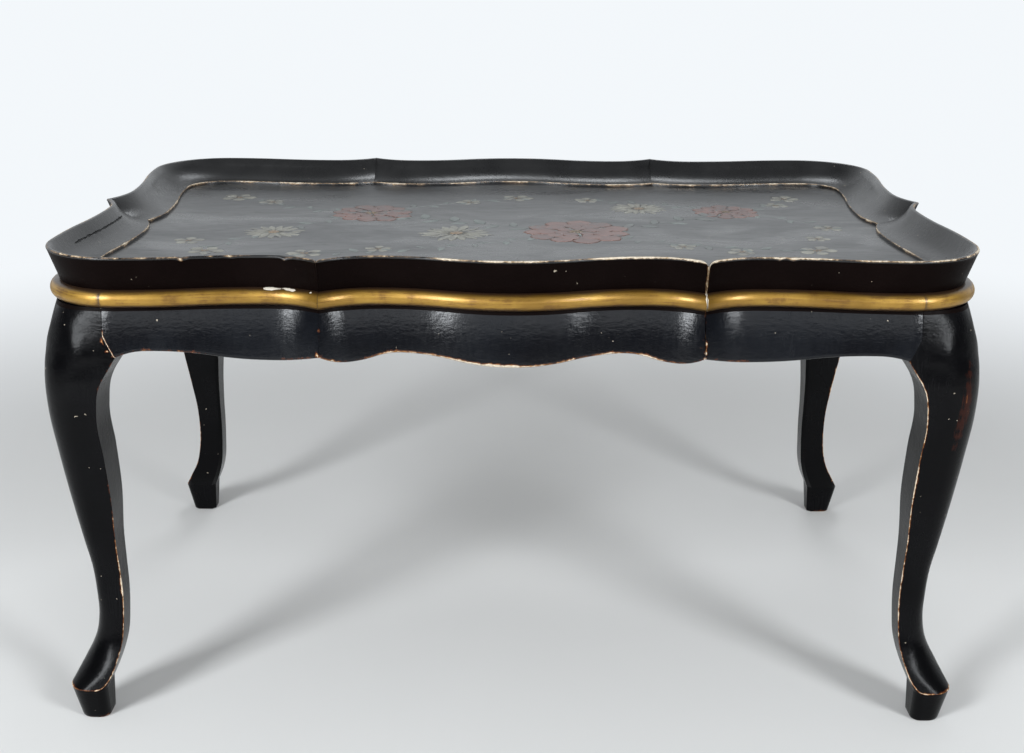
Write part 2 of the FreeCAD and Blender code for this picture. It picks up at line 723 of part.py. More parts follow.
for share, back_share, width_share, outer_share, inner_share in with_halfway_rows(foot_shares)[1:]:
    height = f"({size('ankle_height')} + ({size('toe_height')} - {size('ankle_height')}) * {share})"
    outer = f"({size('toe_set_back')} + ({size('ankle_set_back')} - {size('toe_set_back')}) * {back_share})"
    width = f"({size('ankle_width')} + ({size('toe_width')} - {size('ankle_width')}) * {width_share})"
    stations.append((height, outer, width, outer_share, inner_share))
sections = [leg_section(leg, f"Station{index}", *station) for index, station in enumerate(stations)]
sole = leg_section(leg, "Sole", "0", size("sole_set_back"), size("sole_width"), *sole_shares)
cabriole = leg.newObject("PartDesign::AdditiveLoft", "Cabriole")
cabriole.Profile = sections[0]
cabriole.Sections = sections[1:] + [sole]
cabriole.Ruled = True


def cut_shoulder(body, name, role, way, seam_place, ear_place, lobe_place):
    # the seam stands upright and slants out at its foot over the ear
    above = f"({apron_top} + {overrun})"
    clear = f"({lobe_place} - {size('ear_run')} - {overrun})"
    seam = [(seam_place, above), (seam_place, ear_top), (ear_place, spring)]
    corners = seam + [(clear, spring), (clear, above)]
    loop = [(f"({way} * {along})", height) for along, height in corners]
    pocket = body.newObject("PartDesign::Pocket", name)
    pocket.Profile = draw(new_sketch(body, f"{name}Outline", role, "0"), loop, [None] * 5)
    pocket.Type = "ThroughAll"
    pocket.Reversed = True
    return pocket


cut_shoulder(leg, "FrontShoulder", "XZ_Plane", 1, post_x, ear_x, lobe_x)
cut_shoulder(leg, "SideShoulder", "YZ_Plane", -1, post_w, ear_w, lobe_w)
mortise_length = f"({size('tenon_length')} + {size('tip_gap')} + {overrun})"
mortise_width = f"({size('tenon_thickness')} + 2 * {size('joint_gap')})"
mortise_height = f"({size('tenon_height')} + 2 * {size('joint_gap')})"
mortise_foot = f"({tenon_foot} - {size('joint_gap')})"
box(
    leg,
    "FrontMortise",
    "Subtractive",
    (f"({post_x} - {overrun})", f"({front_tenon_y} - {size('joint_gap')})", mortise_foot),
    (mortise_length, mortise_width, mortise_height),
)
box(
    leg,
    "SideMortise",
    "Subtractive",
    (
        f"({side_tenon_x} - {size('joint_gap')})",
        f"(-({post_w} + {size('tenon_length')} + {size('tip_gap')}))",
        mortise_foot,
    ),
    (mortise_width, mortise_length, mortise_height),
)

in_all_corners("leg", leg)

# Corner blocks: notched round the leg posts and glued to both aprons and under the floor board.
block_foot = f"({ear_top} + {size('tip_gap')})"
block = new_body("CornerBlock")
outline = [
    (f"({post_x} - {size('block_leg')})", f"(-{front_back})"),
    (post_x, f"(-{front_back})"),
    (post_x, f"(-{post_w})"),
    (side_back, f"(-{post_w})"),
    (side_back, f"({size('block_leg')} - {post_w})"),
]
block_pad = block.newObject("PartDesign::Pad", "Block")
block_pad.Profile = draw(new_sketch(block, "Outline", "XY_Plane", block_foot), outline, [None] * 5)
block_pad.setExpression("Length", f"({floor_under} - {block_foot})")
in_all_corners("corner_block", block)

# Blocks glued behind the joints of the aprons at the cusps.
joint_block_z = f"({apron_top} - {size('joint_block_drop')} - {size('joint_block_height')})"
front_joint_block = new_body("FrontJointBlock")
box(
    front_joint_block,
    "Block",
    "Additive",
    (f"({cusp_x} - {size('joint_block_width')} / 2)", f"(-{front_back})", joint_block_z),
    (size("joint_block_width"), size("joint_block_thickness"), size("joint_block_height")),
)
in_all_corners("joint_block", front_joint_block)
side_joint_block = new_body("SideJointBlock")
box(
    side_joint_block,
    "Block",
    "Additive",
    (
        f"({side_back} - {size('joint_block_thickness')})",
        f"(-{size('joint_block_width')} / 2)",
        joint_block_z,
    ),
    (size("joint_block_thickness"), size("joint_block_width"), size("joint_block_height")),
)
node("joint_block_right", side_joint_block)
mirror("joint_block_left", side_joint_block, "x")

# Bearers under the floor board, with stub tenons in the front and back aprons.
bearer = new_body("Bearer")
box(
    bearer,
    "Bar",
    "Additive",
    (f"({size('bearer_offset')} - {size('bearer_width')} / 2)", f"(-{front_back})", bearer_foot),
    (size("bearer_width"), f"(2 * {front_back})", size("bearer_height")),
)
for end, corner_y in (("Front", f"(-({front_back} + {size('stub_length')}))"), ("Back", front_back)):
    box(
        bearer,
        f"{end}Stub",
        "Additive",
        (stub_corner_x, corner_y, bearer_foot),
        (size("stub_width"), size("stub_length"), size("stub_height")),
    )
node("bearer_right", bearer)
mirror("bearer_left", bearer, "x")

# Floor board: a plain panel in the rebate of the rim.
floor_half_width = f"({rebate_x} - {size('floor_gap')})"
floor_half_depth = f"({rebate_y} - {size('floor_gap')})"
tray_floor = new_body("TrayFloor")
box(
    tray_floor,
    "Panel",
    "Additive",
    (f"(-{floor_half_width})", f"(-{floor_half_depth})", floor_under),
    (f"(2 * {floor_half_width})", f"(2 * {floor_half_depth})", size("floor_thickness")),
)
node("tray_floor", tray_floor)


# Loose tongues of the cusp joints, each kind as one group.
def loose_tongue(name, middle, foot, spans, along):
    corner, sides = tongue_box(middle, foot, spans, along, "0", "0")
    solid = document.addObject("Part::Box", name)
    for axis, place in zip("xyz", corner):
        solid.setExpression(f"Placement.Base.{axis}", place)
    for side, span in zip(("Length", "Width", "Height"), sides):
        solid.setExpression(side, span)
    return solid


def tongue_group(name, stem, front_y, side_x, foot, spans):
    front = loose_tongue(f"{stem}Front", (cusp_x, front_y), foot, spans, "x")
    left = mirror(f"{stem}FrontLeft", front, "x", keep=False)
    back = mirror(f"{stem}Back", front, "y", keep=False)
    back_left = mirror(f"{stem}BackLeft", left, "y", keep=False)
    side = loose_tongue(f"{stem}Side", (side_x, "0"), foot, spans, "y")
    side_left = mirror(f"{stem}SideLeft", side, "x", keep=False)
    whole = document.addObject("Part::Compound", name)
    whole.Links = [front, left, back, back_left, side, side_left]
    return node(name, whole)


tongue_group("apron_joint_tongues", "ApronTongue", tongue_y, tongue_x, tongue_foot, tongue)
tongue_group("rim_joint_tongues", "RimTongue", rim_tongue_y, rim_tongue_x, rim_tongue_foot, rim_tongue)

document.recompute()
for thing in document.Objects:
    if "Invalid" in thing.State or "Error" in thing.State:
        raise RuntimeError(f"{thing.Label} is {thing.State}")
os.makedirs("parts", exist_ok=True)
for thing in nodes:
    shape = thing.Shape
    if shape.isNull() or not shape.isValid():
        raise RuntimeError(f"{thing.Label} has no valid shape")
    shape.exportStep(f"parts/{thing.Label}.step")
    print(thing.Label, len(shape.Solids), round(shape.Volume))
print(len(nodes), "nodes")
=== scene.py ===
import math

import bmesh
import bpy
import numpy as np
from mathutils import Matrix, Vector


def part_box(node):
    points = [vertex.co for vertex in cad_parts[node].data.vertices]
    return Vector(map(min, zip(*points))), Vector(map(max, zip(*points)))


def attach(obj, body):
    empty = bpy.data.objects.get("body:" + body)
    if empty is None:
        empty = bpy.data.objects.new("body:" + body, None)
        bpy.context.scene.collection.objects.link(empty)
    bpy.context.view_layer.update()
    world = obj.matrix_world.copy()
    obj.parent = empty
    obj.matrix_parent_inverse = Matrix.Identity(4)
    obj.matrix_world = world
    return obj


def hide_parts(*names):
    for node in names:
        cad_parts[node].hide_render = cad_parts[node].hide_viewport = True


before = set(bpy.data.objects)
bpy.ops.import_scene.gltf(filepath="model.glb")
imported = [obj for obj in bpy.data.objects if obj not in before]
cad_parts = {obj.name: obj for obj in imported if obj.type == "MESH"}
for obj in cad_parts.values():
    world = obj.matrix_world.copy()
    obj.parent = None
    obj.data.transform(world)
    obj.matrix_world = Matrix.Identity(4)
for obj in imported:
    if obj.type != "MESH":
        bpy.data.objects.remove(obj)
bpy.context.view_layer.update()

print("frame in:", len(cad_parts), "nodes")

mm = 0.001
# the part's two ends and four quarters, each with its mirroring in x and y
ends = [("Front", (1, 1)), ("Back", (1, -1))]
quarters = [("Front", "Right", (1, 1)), ("Front", "Left", (-1, 1)),
            ("Back", "Right", (1, -1)), ("Back", "Left", (-1, -1))]


# small helpers for objects, meshes and node trees
def addObject(name, data):
    made = bpy.data.objects.new(name, data)
    bpy.context.scene.collection.objects.link(made)
    return made


def setMark(mesh, mark, values):
    mesh.attributes.new(mark, "FLOAT", "POINT").data.foreach_set("value", values)


def scaled(values, share):
    return tuple(share * part for part in values)


def isSocket(value):
    return isinstance(value, bpy.types.NodeSocket)


# an input takes a value or the output of another node
def feed(socket, value):
    if isSocket(value):
        socket.id_data.links.new(value, socket)
    else:
        socket.default_value = value


def fill(node, inputs):
    for label, value in inputs.items():
        feed(node.inputs[label], value)


def addNode(tree, kind, inputs, **settings):
    node = tree.nodes.new(kind)
    for label, value in settings.items():
        setattr(node, label, value)
    fill(node, inputs)
    return node


def newFinish(name):
    finish = bpy.data.materials.new(name)
    finish.use_nodes = True
    tree = finish.node_tree
    tree.nodes.clear()
    shader = tree.nodes.new("ShaderNodeBsdfPrincipled")
    addNode(tree, "ShaderNodeOutputMaterial", {"Surface": shader.outputs["BSDF"]})
    return finish, tree, shader


def objectPlace(tree, scale=(1, 1, 1), turn=(0, 0, 0)):
    place = tree.nodes.new("ShaderNodeTexCoord").outputs["Object"]
    mapping = addNode(tree, "ShaderNodeMapping", {"Vector": place, "Scale": scale, "Rotation": turn})
    return mapping.outputs["Vector"]


def cloud(place, scale, detail=4, rough=0.55, twist=0):
    inputs = {"Vector": place, "Scale": scale, "Detail": detail, "Roughness": rough, "Distortion": twist}
    return addNode(place.id_data, "ShaderNodeTexNoise", inputs).outputs["Fac"]


def ease(value, low, high, toLow=0.0, toHigh=1.0):
    inputs = {"Value": value, "From Min": low, "From Max": high, "To Min": toLow, "To Max": toHigh}
    node = addNode(value.id_data, "ShaderNodeMapRange", inputs, interpolation_type="SMOOTHSTEP")
    return node.outputs["Result"]


def sums(kind, a, b):
    tree = (a if isSocket(a) else b).id_data
    return addNode(tree, "ShaderNodeMath", {0: a, 1: b}, operation=kind).outputs[0]


def plus(a, b):
    return sums("ADD", a, b)


def minus(a, b):
    return sums("SUBTRACT", a, b)


def times(a, b):
    return sums("MULTIPLY", a, b)


def most(a, b):
    return sums("MAXIMUM", a, b)


# a value raised and lowered by a noise about its middle
def swing(value, noise, much):
    return plus(value, times(minus(noise, 0.5), much))


def tint(share, a, b):
    a, b = (colour if isSocket(colour) else (*colour, 1) for colour in (a, b))
    node = addNode(share.id_data, "ShaderNodeMix", {"Factor": share, "A": a, "B": b}, data_type="RGBA")
    return node.outputs["Result"]


def marked(tree, name):
    return addNode(tree, "ShaderNodeAttribute", {}, attribute_name=name).outputs["Fac"]


def relief(height, depth, strength=1.0, under=None):
    inputs = {"Strength": strength, "Distance": depth, "Height": height}
    node = addNode(height.id_data, "ShaderNodeBump", inputs)
    if under is not None:
        feed(node.inputs["Normal"], under)
    return node.outputs["Normal"]


gessoCream = (0.62, 0.54, 0.42)
redGround = (0.075, 0.022, 0.009)
warmWood = (0.33, 0.15, 0.045)
dryWood = (0.34, 0.235, 0.13)


# black lacquer, with red ground, wood and gesso laid bare where the wear mark is high
def lacquer(name, dark, cool, gloss, shine, wornRed, wornWood):
    finish, tree, shader = newFinish(name)
    place = objectPlace(tree)
    cloudy = cloud(place, 11, 5)
    fine = cloud(place, 400, 3)
    pits = cloud(place, 175, 2, 0.5)
    chipShape = cloud(place, 230, 5, 0.68)
    chipPatch = cloud(place, 24, 3, 0.6)
    hatch = cloud(objectPlace(tree, (60, 60, 3.5)), 7, 3)
    colour = tint(ease(cloudy, 0.36, 0.66), dark, cool)
    # upright rubs down the knees
    streak = marked(tree, "streak")
    threads = cloud(objectPlace(tree, (75, 75, 8)), 6, 4, 0.6)
    bared = swing(streak, threads, 1.1)
    onStreak = ease(streak, 0.02, 0.2)
    colour = tint(times(ease(bared, 0.30, 0.62), onStreak), colour, (0.020, 0.0055, 0.0034))
    colour = tint(times(ease(bared, 0.80, 0.92), onStreak), colour, (0.13, 0.042, 0.014))
    # chips on the edges, deeper with more wear
    wear = marked(tree, "wear")
    rubbed = swing(swing(wear, chipShape, 1.3), chipPatch, 1.7)
    gate = ease(wear, 0.04, 0.22)
    redShare = times(ease(rubbed, 0.46, 0.68), gate)
    woodShare = times(ease(rubbed, 0.68, 0.82), gate)
    gessoShare = times(ease(rubbed, 0.84, 0.92), gate)
    speck = times(ease(pits, 0.755, 0.785), 0.55)
    colour = tint(redShare, colour, wornRed)
    colour = tint(woodShare, colour, wornWood)
    pale = tint(ease(fine, 0.35, 0.65), gessoCream, scaled(gessoCream, 0.68))
    colour = tint(most(gessoShare, speck), colour, pale)
    chipped = most(woodShare, gessoShare)
    crack = ease(swing(marked(tree, "crack"), pits, 0.8), 0.72, 0.98)
    rough = ease(hatch, 0.3, 0.7, gloss - 0.03, gloss + 0.04)
    rough = plus(rough, ease(cloudy, 0.4, 0.7, 0, 0.08))
    rough = plus(rough, times(chipped, 0.3))
    rough = plus(rough, times(crack, 0.45))
    bump = relief(cloudy, 0.0011, 0.28)
    bump = relief(hatch, 0.0004, 0.11, bump)
    bump = relief(minus(1.0, crack), 0.0016, 1.0, bump)
    bump = relief(cloud(objectPlace(tree, (1, 1, 2)), 130, 3, 0.6), 0.0006, 0.3, bump)
    bump = relief(fine, 0.00017, 0.5, bump)
    bump = relief(minus(1.0, chipped), 0.0005, 0.8, bump)
    fill(shader, {"Base Color": colour, "Roughness": rough, "Specular IOR Level": shine, "Normal": bump})
    return finish


blackLacquer = lacquer("blackLacquer", (0.0030, 0.0032, 0.0044), (0.0042, 0.0050, 0.0070), 0.17, 0.26,
                       redGround, warmWood)
# a darker, less shiny copy of the lacquer for the legs: painted shade
legLacquer = lacquer("legLacquer", (0.0017, 0.0017, 0.0020), (0.0029, 0.0029, 0.0034), 0.21, 0.085,
                     redGround, warmWood)
# a lighter, shinier copy of the lacquer for the rim's lip and cove: painted sheen
litCoveLacquer = lacquer("litCoveLacquer", (0.0050, 0.0050, 0.0054), (0.0105, 0.0104, 0.0106), 0.28, 0.42,
                      (0.10, 0.066, 0.042), dryWood)
# the darkest, dullest copy of the lacquer for the rim's outer wall and the band just under the moulding:
# painted shade
shadedLacquer = lacquer("shadedLacquer", (0.0030, 0.0016, 0.0014), (0.0044, 0.0025, 0.0022), 0.36, 0.02,
                      (0.085, 0.040, 0.018), dryWood)


# old gold with dirt in streaks, painted shade and grime in the quirks along the round's top and underside,
# and white gesso where it is chipped
def gilt():
    finish, tree, shader = newFinish("antiqueGilt")
    place = objectPlace(tree)
    cloudy = cloud(place, 22, 5)
    brushed = cloud(objectPlace(tree, (5, 5, 90)), 8, 3)
    streaks = cloud(objectPlace(tree, (3, 3, 120)), 6, 4, 0.6)
    wear = marked(tree, "wear")
    colour = tint(ease(cloudy, 0.34, 0.66), (0.25, 0.135, 0.017), (0.38, 0.22, 0.034))
    colour = tint(ease(brushed, 0.45, 0.75, 0, 0.35), colour, (0.27, 0.135, 0.016))
    dirt = swing(cloud(place, 60, 5, 0.65), streaks, 0.9)
    colour = tint(ease(dirt, 0.47, 0.72, 0, 0.8), colour, (0.15, 0.068, 0.012))
    # painted shade with grime: darker and less metallic along the round's top and underside
    shade = swing(marked(tree, "grime"), cloudy, 0.9)
    colour = tint(ease(shade, 0.22, 0.95), colour, (0.035, 0.017, 0.007))
    rubbed = swing(swing(wear, cloud(place, 90, 3), 1.4), cloud(place, 13, 2), 1.0)
    white = times(ease(rubbed, 0.74, 0.82), ease(wear, 0.05, 0.25))
    gold = minus(1.0, white)
    colour = tint(white, colour, (0.66, 0.60, 0.50))
    metal = times(gold, ease(shade, 0.4, 1.0, 0.66, 0.3))
    rough = plus(ease(cloudy, 0.3, 0.7, 0.36, 0.48), times(white, 0.3))
    bump = relief(cloud(place, 360, 3), 0.00015, 0.4)
    bump = relief(brushed, 0.0003, 0.3, bump)
    bump = relief(gold, 0.0006, 0.8, bump)
    fill(shader, {"Base Color": colour, "Metallic": metal, "Coat Weight": 0.35, "Coat Roughness": 0.27,
                  "Roughness": rough, "Normal": bump})
    return finish


antiqueGilt = gilt()


def plainWood(name, pale, dark, scale):
    finish, tree, shader = newFinish(name)
    grain = cloud(objectPlace(tree, scale), 12, 5, 0.6, 1.2)
    pores = cloud(objectPlace(tree, scaled(scale, 3)), 60, 2)
    colour = tint(ease(grain, 0.32, 0.68), pale, dark)
    colour = tint(ease(pores, 0.6, 0.72, 0, 0.5), colour, scaled(dark, 0.5))
    fill(shader, {"Base Color": colour, "Roughness": ease(grain, 0.3, 0.7, 0.62, 0.78),
                  "Normal": relief(grain, 0.0006, 0.5, relief(pores, 0.0002, 0.5))})
    return finish


blockWood = plainWood("blockWood", (0.32, 0.20, 0.10), (0.20, 0.115, 0.055), (10, 10, 1.2))
bearerWood = plainWood("bearerWood", (0.30, 0.19, 0.10), (0.18, 0.105, 0.05), (12, 1.0, 12))
tongueWood = plainWood("tongueWood", (0.36, 0.24, 0.13), (0.24, 0.15, 0.08), (12, 12, 2))
print("finishes made")


# plan line of the front right quarter in mm: arcs as centre, radius, 1 out or -1 in, first and last point
planLine = [
    ((0, -100.64), 203.36, 1, (0, -304), (64.5, -293.5)),
    ((129, -486.36), 203.36, -1, (64.5, -293.5), (129, -283)),
    ((129, -355.45), 72.45, -1, (129, -283), (181, -305)),
    ((233, -355.45), 72.45, -1, (181, -305), (233, -283)),
    ((233, -636.5), 353.5, -1, (233, -283), (303, -290)),
    ((373, 56.5), 353.5, 1, (303, -290), (373, -297)),
    ((373, -215), 82, 1, (373, -297), (455, -215)),
    ((-101.52, -215), 556.52, 1, (455, -215), (449, -133.5)),
    ((999.52, -52), 556.52, -1, (449, -133.5), (443, -52)),
    ((535.5, -52), 92.5, -1, (443, -52), (459, 0)),
]
cuspX = 181
seam = 386           # where the leg joins, in front and at the side
sideSeam = -228
hairline = 0.08      # half width of a closed joint
openJoint = 0.35     # half width of the open joint at the right front cusp


def jointGap(end, side):
    return openJoint if (end, side) == ("Front", "Right") else hairline


def arcTurn(centre, point):
    return math.atan2(point[1] - centre[1], point[0] - centre[0])


def cutTurn(centre, radius, cut, near):
    axis, at = cut
    share = max(-1.0, min(1.0, (at - centre[axis]) / radius))
    if axis == 0:
        choices = [math.acos(share), -math.acos(share)]
    else:
        choices = [math.asin(share), math.pi - math.asin(share), -math.pi - math.asin(share)]
    return min(choices, key=lambda turn: abs(turn - near))


# samples along a run of arcs, closer together towards a cusp
def runSamples(numbers, steps, closeStart=False, closeEnd=False):
    samples = []
    for number, count in zip(numbers, steps):
        for i in range(1 if samples else 0, count + 1):
            share = i / count
            if closeStart and number == numbers[0]:
                share = share ** 1.8
            if closeEnd and number == numbers[-1]:
                share = 1 - (1 - share) ** 1.8
            samples.append((number, share, number == numbers[0], number == numbers[-1]))
    return samples


def planPoint(sample, inset, startCut=None, endCut=None):
    number, share, isFirst, isLast = sample
    centre, radius, bulge, first, last = planLine[number]
    radius -= bulge * inset
    a, b = arcTurn(centre, first), arcTurn(centre, last)
    b += 2 * math.pi * round((a - b) / (2 * math.pi))
    middle = (a + b) / 2
    if isFirst and startCut:
        a = cutTurn(centre, radius, startCut, middle)
    if isLast and endCut:
        b = cutTurn(centre, radius, endCut, middle)
    turn = a + (b - a) * share
    return centre[0] + radius * math.cos(turn), centre[1] + radius * math.sin(turn)


def asRows(columns):
    return np.array(columns, float).swapaxes(0, 1)


# a section of (inset, height, mark) carried along a run
def sectionColumn(section, sample, startCut, endCut):
    return [(*planPoint(sample, d, startCut, endCut), z) for d, z, _ in section]


def sectionRows(section, samples, startCut, endCut):
    return asRows([sectionColumn(section, sample, startCut, endCut) for sample in samples])


# both halves of a middle length, left to right
def middleRun(makeColumn, steps):
    samples = runSamples([0, 1, 2], steps, closeEnd=True)
    right = [makeColumn(sample, "Right") for sample in samples]
    left = [makeColumn(sample, "Left") for sample in samples]
    return asRows([[(-x, y, z) for x, y, z in column] for column in left[:0:-1]] + right)


def middleSection(section, end):
    def column(sample, side):
        return sectionColumn(section, sample, None, (0, cuspX - jointGap(end, side)))

    return middleRun(column, (16, 10, 16))


# a grid made a closed piece: rows go round the section, columns along the run
# the piece's name says the node that it replaces
def makePiece(name, rows, marks, finish, flip, sharp=40,
              shadedFinish=None, shadedRows=0, shadedColumns=0):
    count, length = rows.shape[:2]
    points = rows.reshape(-1, 3) * mm * np.array([*flip, 1])
    faces = []
    for r in range(count):
        nextRow = (r + 1) % count
        for c in range(length - 1):
            faces.append((r * length + c, r * length + c + 1, nextRow * length + c + 1, nextRow * length + c))
    # faces in the given first rows or columns take the second finish, a darker copy of the lacquer: painted
    # shade
    shadedFaces = [i < shadedRows * (length - 1) or i % (length - 1) < shadedColumns for i in range(len(faces))]
    faces.append([r * length for r in range(count)][::-1])
    faces.append([r * length + length - 1 for r in range(count)])
    mesh = bpy.data.meshes.new(name)
    mesh.from_pydata([tuple(p) for p in points], [], faces)
    for mark, values in marks.items():
        setMark(mesh, mark, np.clip(np.array(values, float).reshape(-1), 0, 2).astype(np.float32))
    if shadedFinish:
        mesh.polygons.foreach_set("material_index", [int(wall) for wall in shadedFaces] + [0, 0])
    work = bmesh.new()
    work.from_mesh(mesh)
    bmesh.ops.remove_doubles(work, verts=work.verts, dist=1e-6)
    bmesh.ops.recalc_face_normals(work, faces=work.faces)
    work.to_mesh(mesh)
    work.free()
    mesh.polygons.foreach_set("use_smooth", [True] * len(mesh.polygons))
    mesh.set_sharp_from_angle(angle=math.radians(sharp))
    mesh.materials.append(finish)
    if shadedFinish:
        mesh.materials.append(shadedFinish)
    piece = addObject(name, mesh)
    node = "".join("_" + letter.lower() if letter.isupper() else letter for letter in name)
    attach(piece, "root")
    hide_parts(node)


# extra wear round single places, each x, y, z, reach and strength
def spotWear(rows, spots, flip):
    points = rows * np.array([*flip, 1])
    extra = np.zeros(points.shape[:2])
    for x, y, z, reach, much in spots:
        away = np.linalg.norm(points - np.array([x, y, z]), axis=2)
        extra = np.maximum(extra, much * np.clip(1.3 - away / reach, 0, 1))
    return extra


# extra wear along an edge, each place, reach and strength
def edgeRubs(x, places):
    return sum(much * np.clip(1.3 - np.abs(x - rubX) / reach, 0, 1) for rubX, reach, much in places)


# wear at the two cut ends of a piece
def edgeMarks(rows, base, atStart, atEnd, reach):
    marks = np.array(base, float)
    if marks.ndim == 1:
        marks = np.repeat(marks[:, None], rows.shape[1], axis=1)
    for much, column in ((atStart, 0), (atEnd, -1)):
        away = np.linalg.norm(rows - rows[:, [column]], axis=2)
        marks = np.maximum(marks, much * np.clip(1 - away / reach, 0, 1))
    return marks


# tray rim: leaning wall, thin rounded lip, cove, inner edge
rim = dict(
    foot=455, top=488, wallFoot=13, wallTop=2, coveEnd=42, coveFoot=464, coveRadius=37.52, floor=460.5,
    back=17,
    wallShares=(0.12, 0.3, 0.5, 0.7, 0.84, 0.92), coveSteps=14, innerRow=28,
    crackedPiece="rimCornerFrontLeft", crackRow=16, crackY=-110, crackReach=50,
    endReach=1.8, softFrom=470, notchFrom=485, frontY=-200, frontFrom=140, frontFade=110,
    # inset, height and wear
    lip=[(2.6, 485.6, 0.12), (2.45, 486.5, 0.45), (2.75, 487.3, 0.76), (3.4, 487.8, 0.82),
         (4.3, 488, 0.62), (5.3, 487.95, 0.36), (6.3, 487.8, 0.2), (7.2, 487.3, 0.1)],
    softJoints=[(cuspX, 7.5), (-cuspX, 3.0)],    # place and radius of the worn corners
    chips=[(-307, -288, 5, 1.6), (-212, -283.7, 4.5, 2.0), (-262, -282.5, 3, 0.9), (262, -282.5, 3.5, 1.2),
           (248, -282, 3, 1.0)],    # place, reach and depth
    rubs=[(-420, 5, 0.4), (-404, 8, 0.3), (-372, 9, 0.3), (-343, 8, 0.5), (-281, 4, 0.55), (-266, 8, 0.35)],
    frontWear=([-460, -330, -200, -120, 60, 460], [0.80, 0.74, 0.72, 0.88, 1.2, 1.15]),    # places and shares
    otherWear=0.8, notchWear=0.68,
)


def rimSection():
    section = [(rim["wallFoot"], rim["foot"], 0.0)]
    for share in rim["wallShares"]:
        inset = rim["wallFoot"] + (rim["wallTop"] - rim["wallFoot"]) * share
        section.append((inset, rim["foot"] + (rim["top"] - rim["foot"]) * share, 0.12 if share > 0.9 else 0))
    section += rim["lip"]
    coveStart, end, foot, radius = rim["lip"][-1][0], rim["coveEnd"], rim["coveFoot"], rim["coveRadius"]
    for i in range(1, rim["coveSteps"]):
        d = coveStart + (end - coveStart) * (i / rim["coveSteps"]) ** 0.8
        section.append((d, foot + radius - math.sqrt(radius ** 2 - (end - d) ** 2), 0.1 if i == 1 else 0.0))
    section += [(end - 1.2, foot + 0.05, 0.5), (end - 0.3, foot - 0.4, 0.92), (end, foot - 1.1, 0.6)]
    return section + [(end, rim["floor"], 0.3), (rim["back"], rim["floor"], 0), (rim["back"], rim["foot"], 0)]


rimProfile = rimSection()
rimWear = np.array([wear for _, _, wear in rimProfile])


# lip corners worn round at the two front joints, and notches knocked out of the lip
def wornLip(rows, flip):
    grid = rows.copy()
    x, y = grid[..., 0] * flip[0], grid[..., 1] * flip[1]
    for joint, radius in rim["softJoints"]:
        short = np.clip(radius - np.abs(x - joint), 0, radius)
        corner = rim["top"] - (radius - np.sqrt(radius ** 2 - short ** 2))
        inFront = (y < rim["frontY"]) & (grid[..., 2] > rim["softFrom"])
        grid[..., 2] = np.where(inFront, np.minimum(grid[..., 2], corner), grid[..., 2])
    notch = np.zeros(grid.shape[:2])
    for chipX, chipY, reach, deep in rim["chips"]:
        near = np.clip(1.2 - np.hypot(x - chipX, y - chipY) / reach, 0, 1) * (grid[..., 2] > rim["notchFrom"])
        grid[..., 2] -= deep * near
        notch = np.maximum(notch, near)
    return grid, notch


# the front edge is the most rubbed, to the right of the middle above all, and the back the least
def rubbedEdge(rows, flip):
    x, y = rows[..., 0] * flip[0], rows[..., 1] * flip[1]
    front = np.interp(x, *rim["frontWear"]) + edgeRubs(x, rim["rubs"])
    other = rim["otherWear"]
    inFront = np.clip((-y - rim["frontFrom"]) / rim["frontFade"], 0, 1)
    marks = rimWear[:, None] * (other + (front - other) * inFront)
    marks[rim["innerRow"]:] = rimWear[rim["innerRow"]:, None]
    return marks


def makeRim(name, rows, flip, atStart, atEnd):
    wear = edgeMarks(rows, rubbedEdge(rows, flip), atStart, atEnd, rim["endReach"])
    rows, notch = wornLip(rows, flip)
    marks = {"wear": np.maximum(wear, rim["notchWear"] * notch)}
    if name == rim["crackedPiece"]:
        crack = np.zeros(wear.shape)
        away = np.abs(rows[rim["crackRow"], :, 1] - rim["crackY"])
        crack[rim["crackRow"]] = np.clip(2.2 - away / rim["crackReach"], 0, 1)
        marks["crack"] = crack
    # the leaning outer wall takes a darker, duller copy of the lacquer as painted shade, and the lip and cove
    # a lighter, shinier copy as painted sheen
    makePiece(name, rows, marks, litCoveLacquer, flip, shadedFinish=shadedLacquer,
              shadedRows=len(rim["wallShares"]) + 1)


for end, flip in ends:
    rows = middleSection(rimProfile, end)
    makeRim(f"rim{end}Centre", rows, flip, 0.3, 0.66 if end == "Front" else 0.3)
cornerSamples = runSamples([3, 4, 5, 6, 7, 8, 9], (18, 18, 16, 24, 12, 12, 16), True, True)
for end, side, flip in quarters:
    gap = jointGap(end, side)
    rows = sectionRows(rimProfile, cornerSamples, (0, cuspX + gap), (1, -hairline))
    makeRim(f"rimCorner{end}{side}", rows, flip, 0.66 if gap == openJoint else 0.3, 0.25)
print("rim made")


# gilt moulding: half round, painted shade and grime along its top and bottom
moulding = dict(
    foot=438, top=455, nose=3, radius=8.5, back=18, steps=14, endReach=3.5, endGrime=0.75, grimeReach=1.2,
    chips=[(-231, -273.8, 454.4, 4.0, 1.4), (-225, -274.0, 454.4, 4.2, 1.5), (-218, -274.9, 454.4, 4.0, 1.5),
           (-211, -276.6, 454.4, 3.8, 1.4), (-205, -279.4, 454.2, 3.2, 1.4), (-188, -288, 454, 3, 1.1),
           (-264, -277, 454, 2.4, 1.0), (-303, -282, 454, 2.4, 0.9), (178, -297, 447, 4, 0.7)],
)


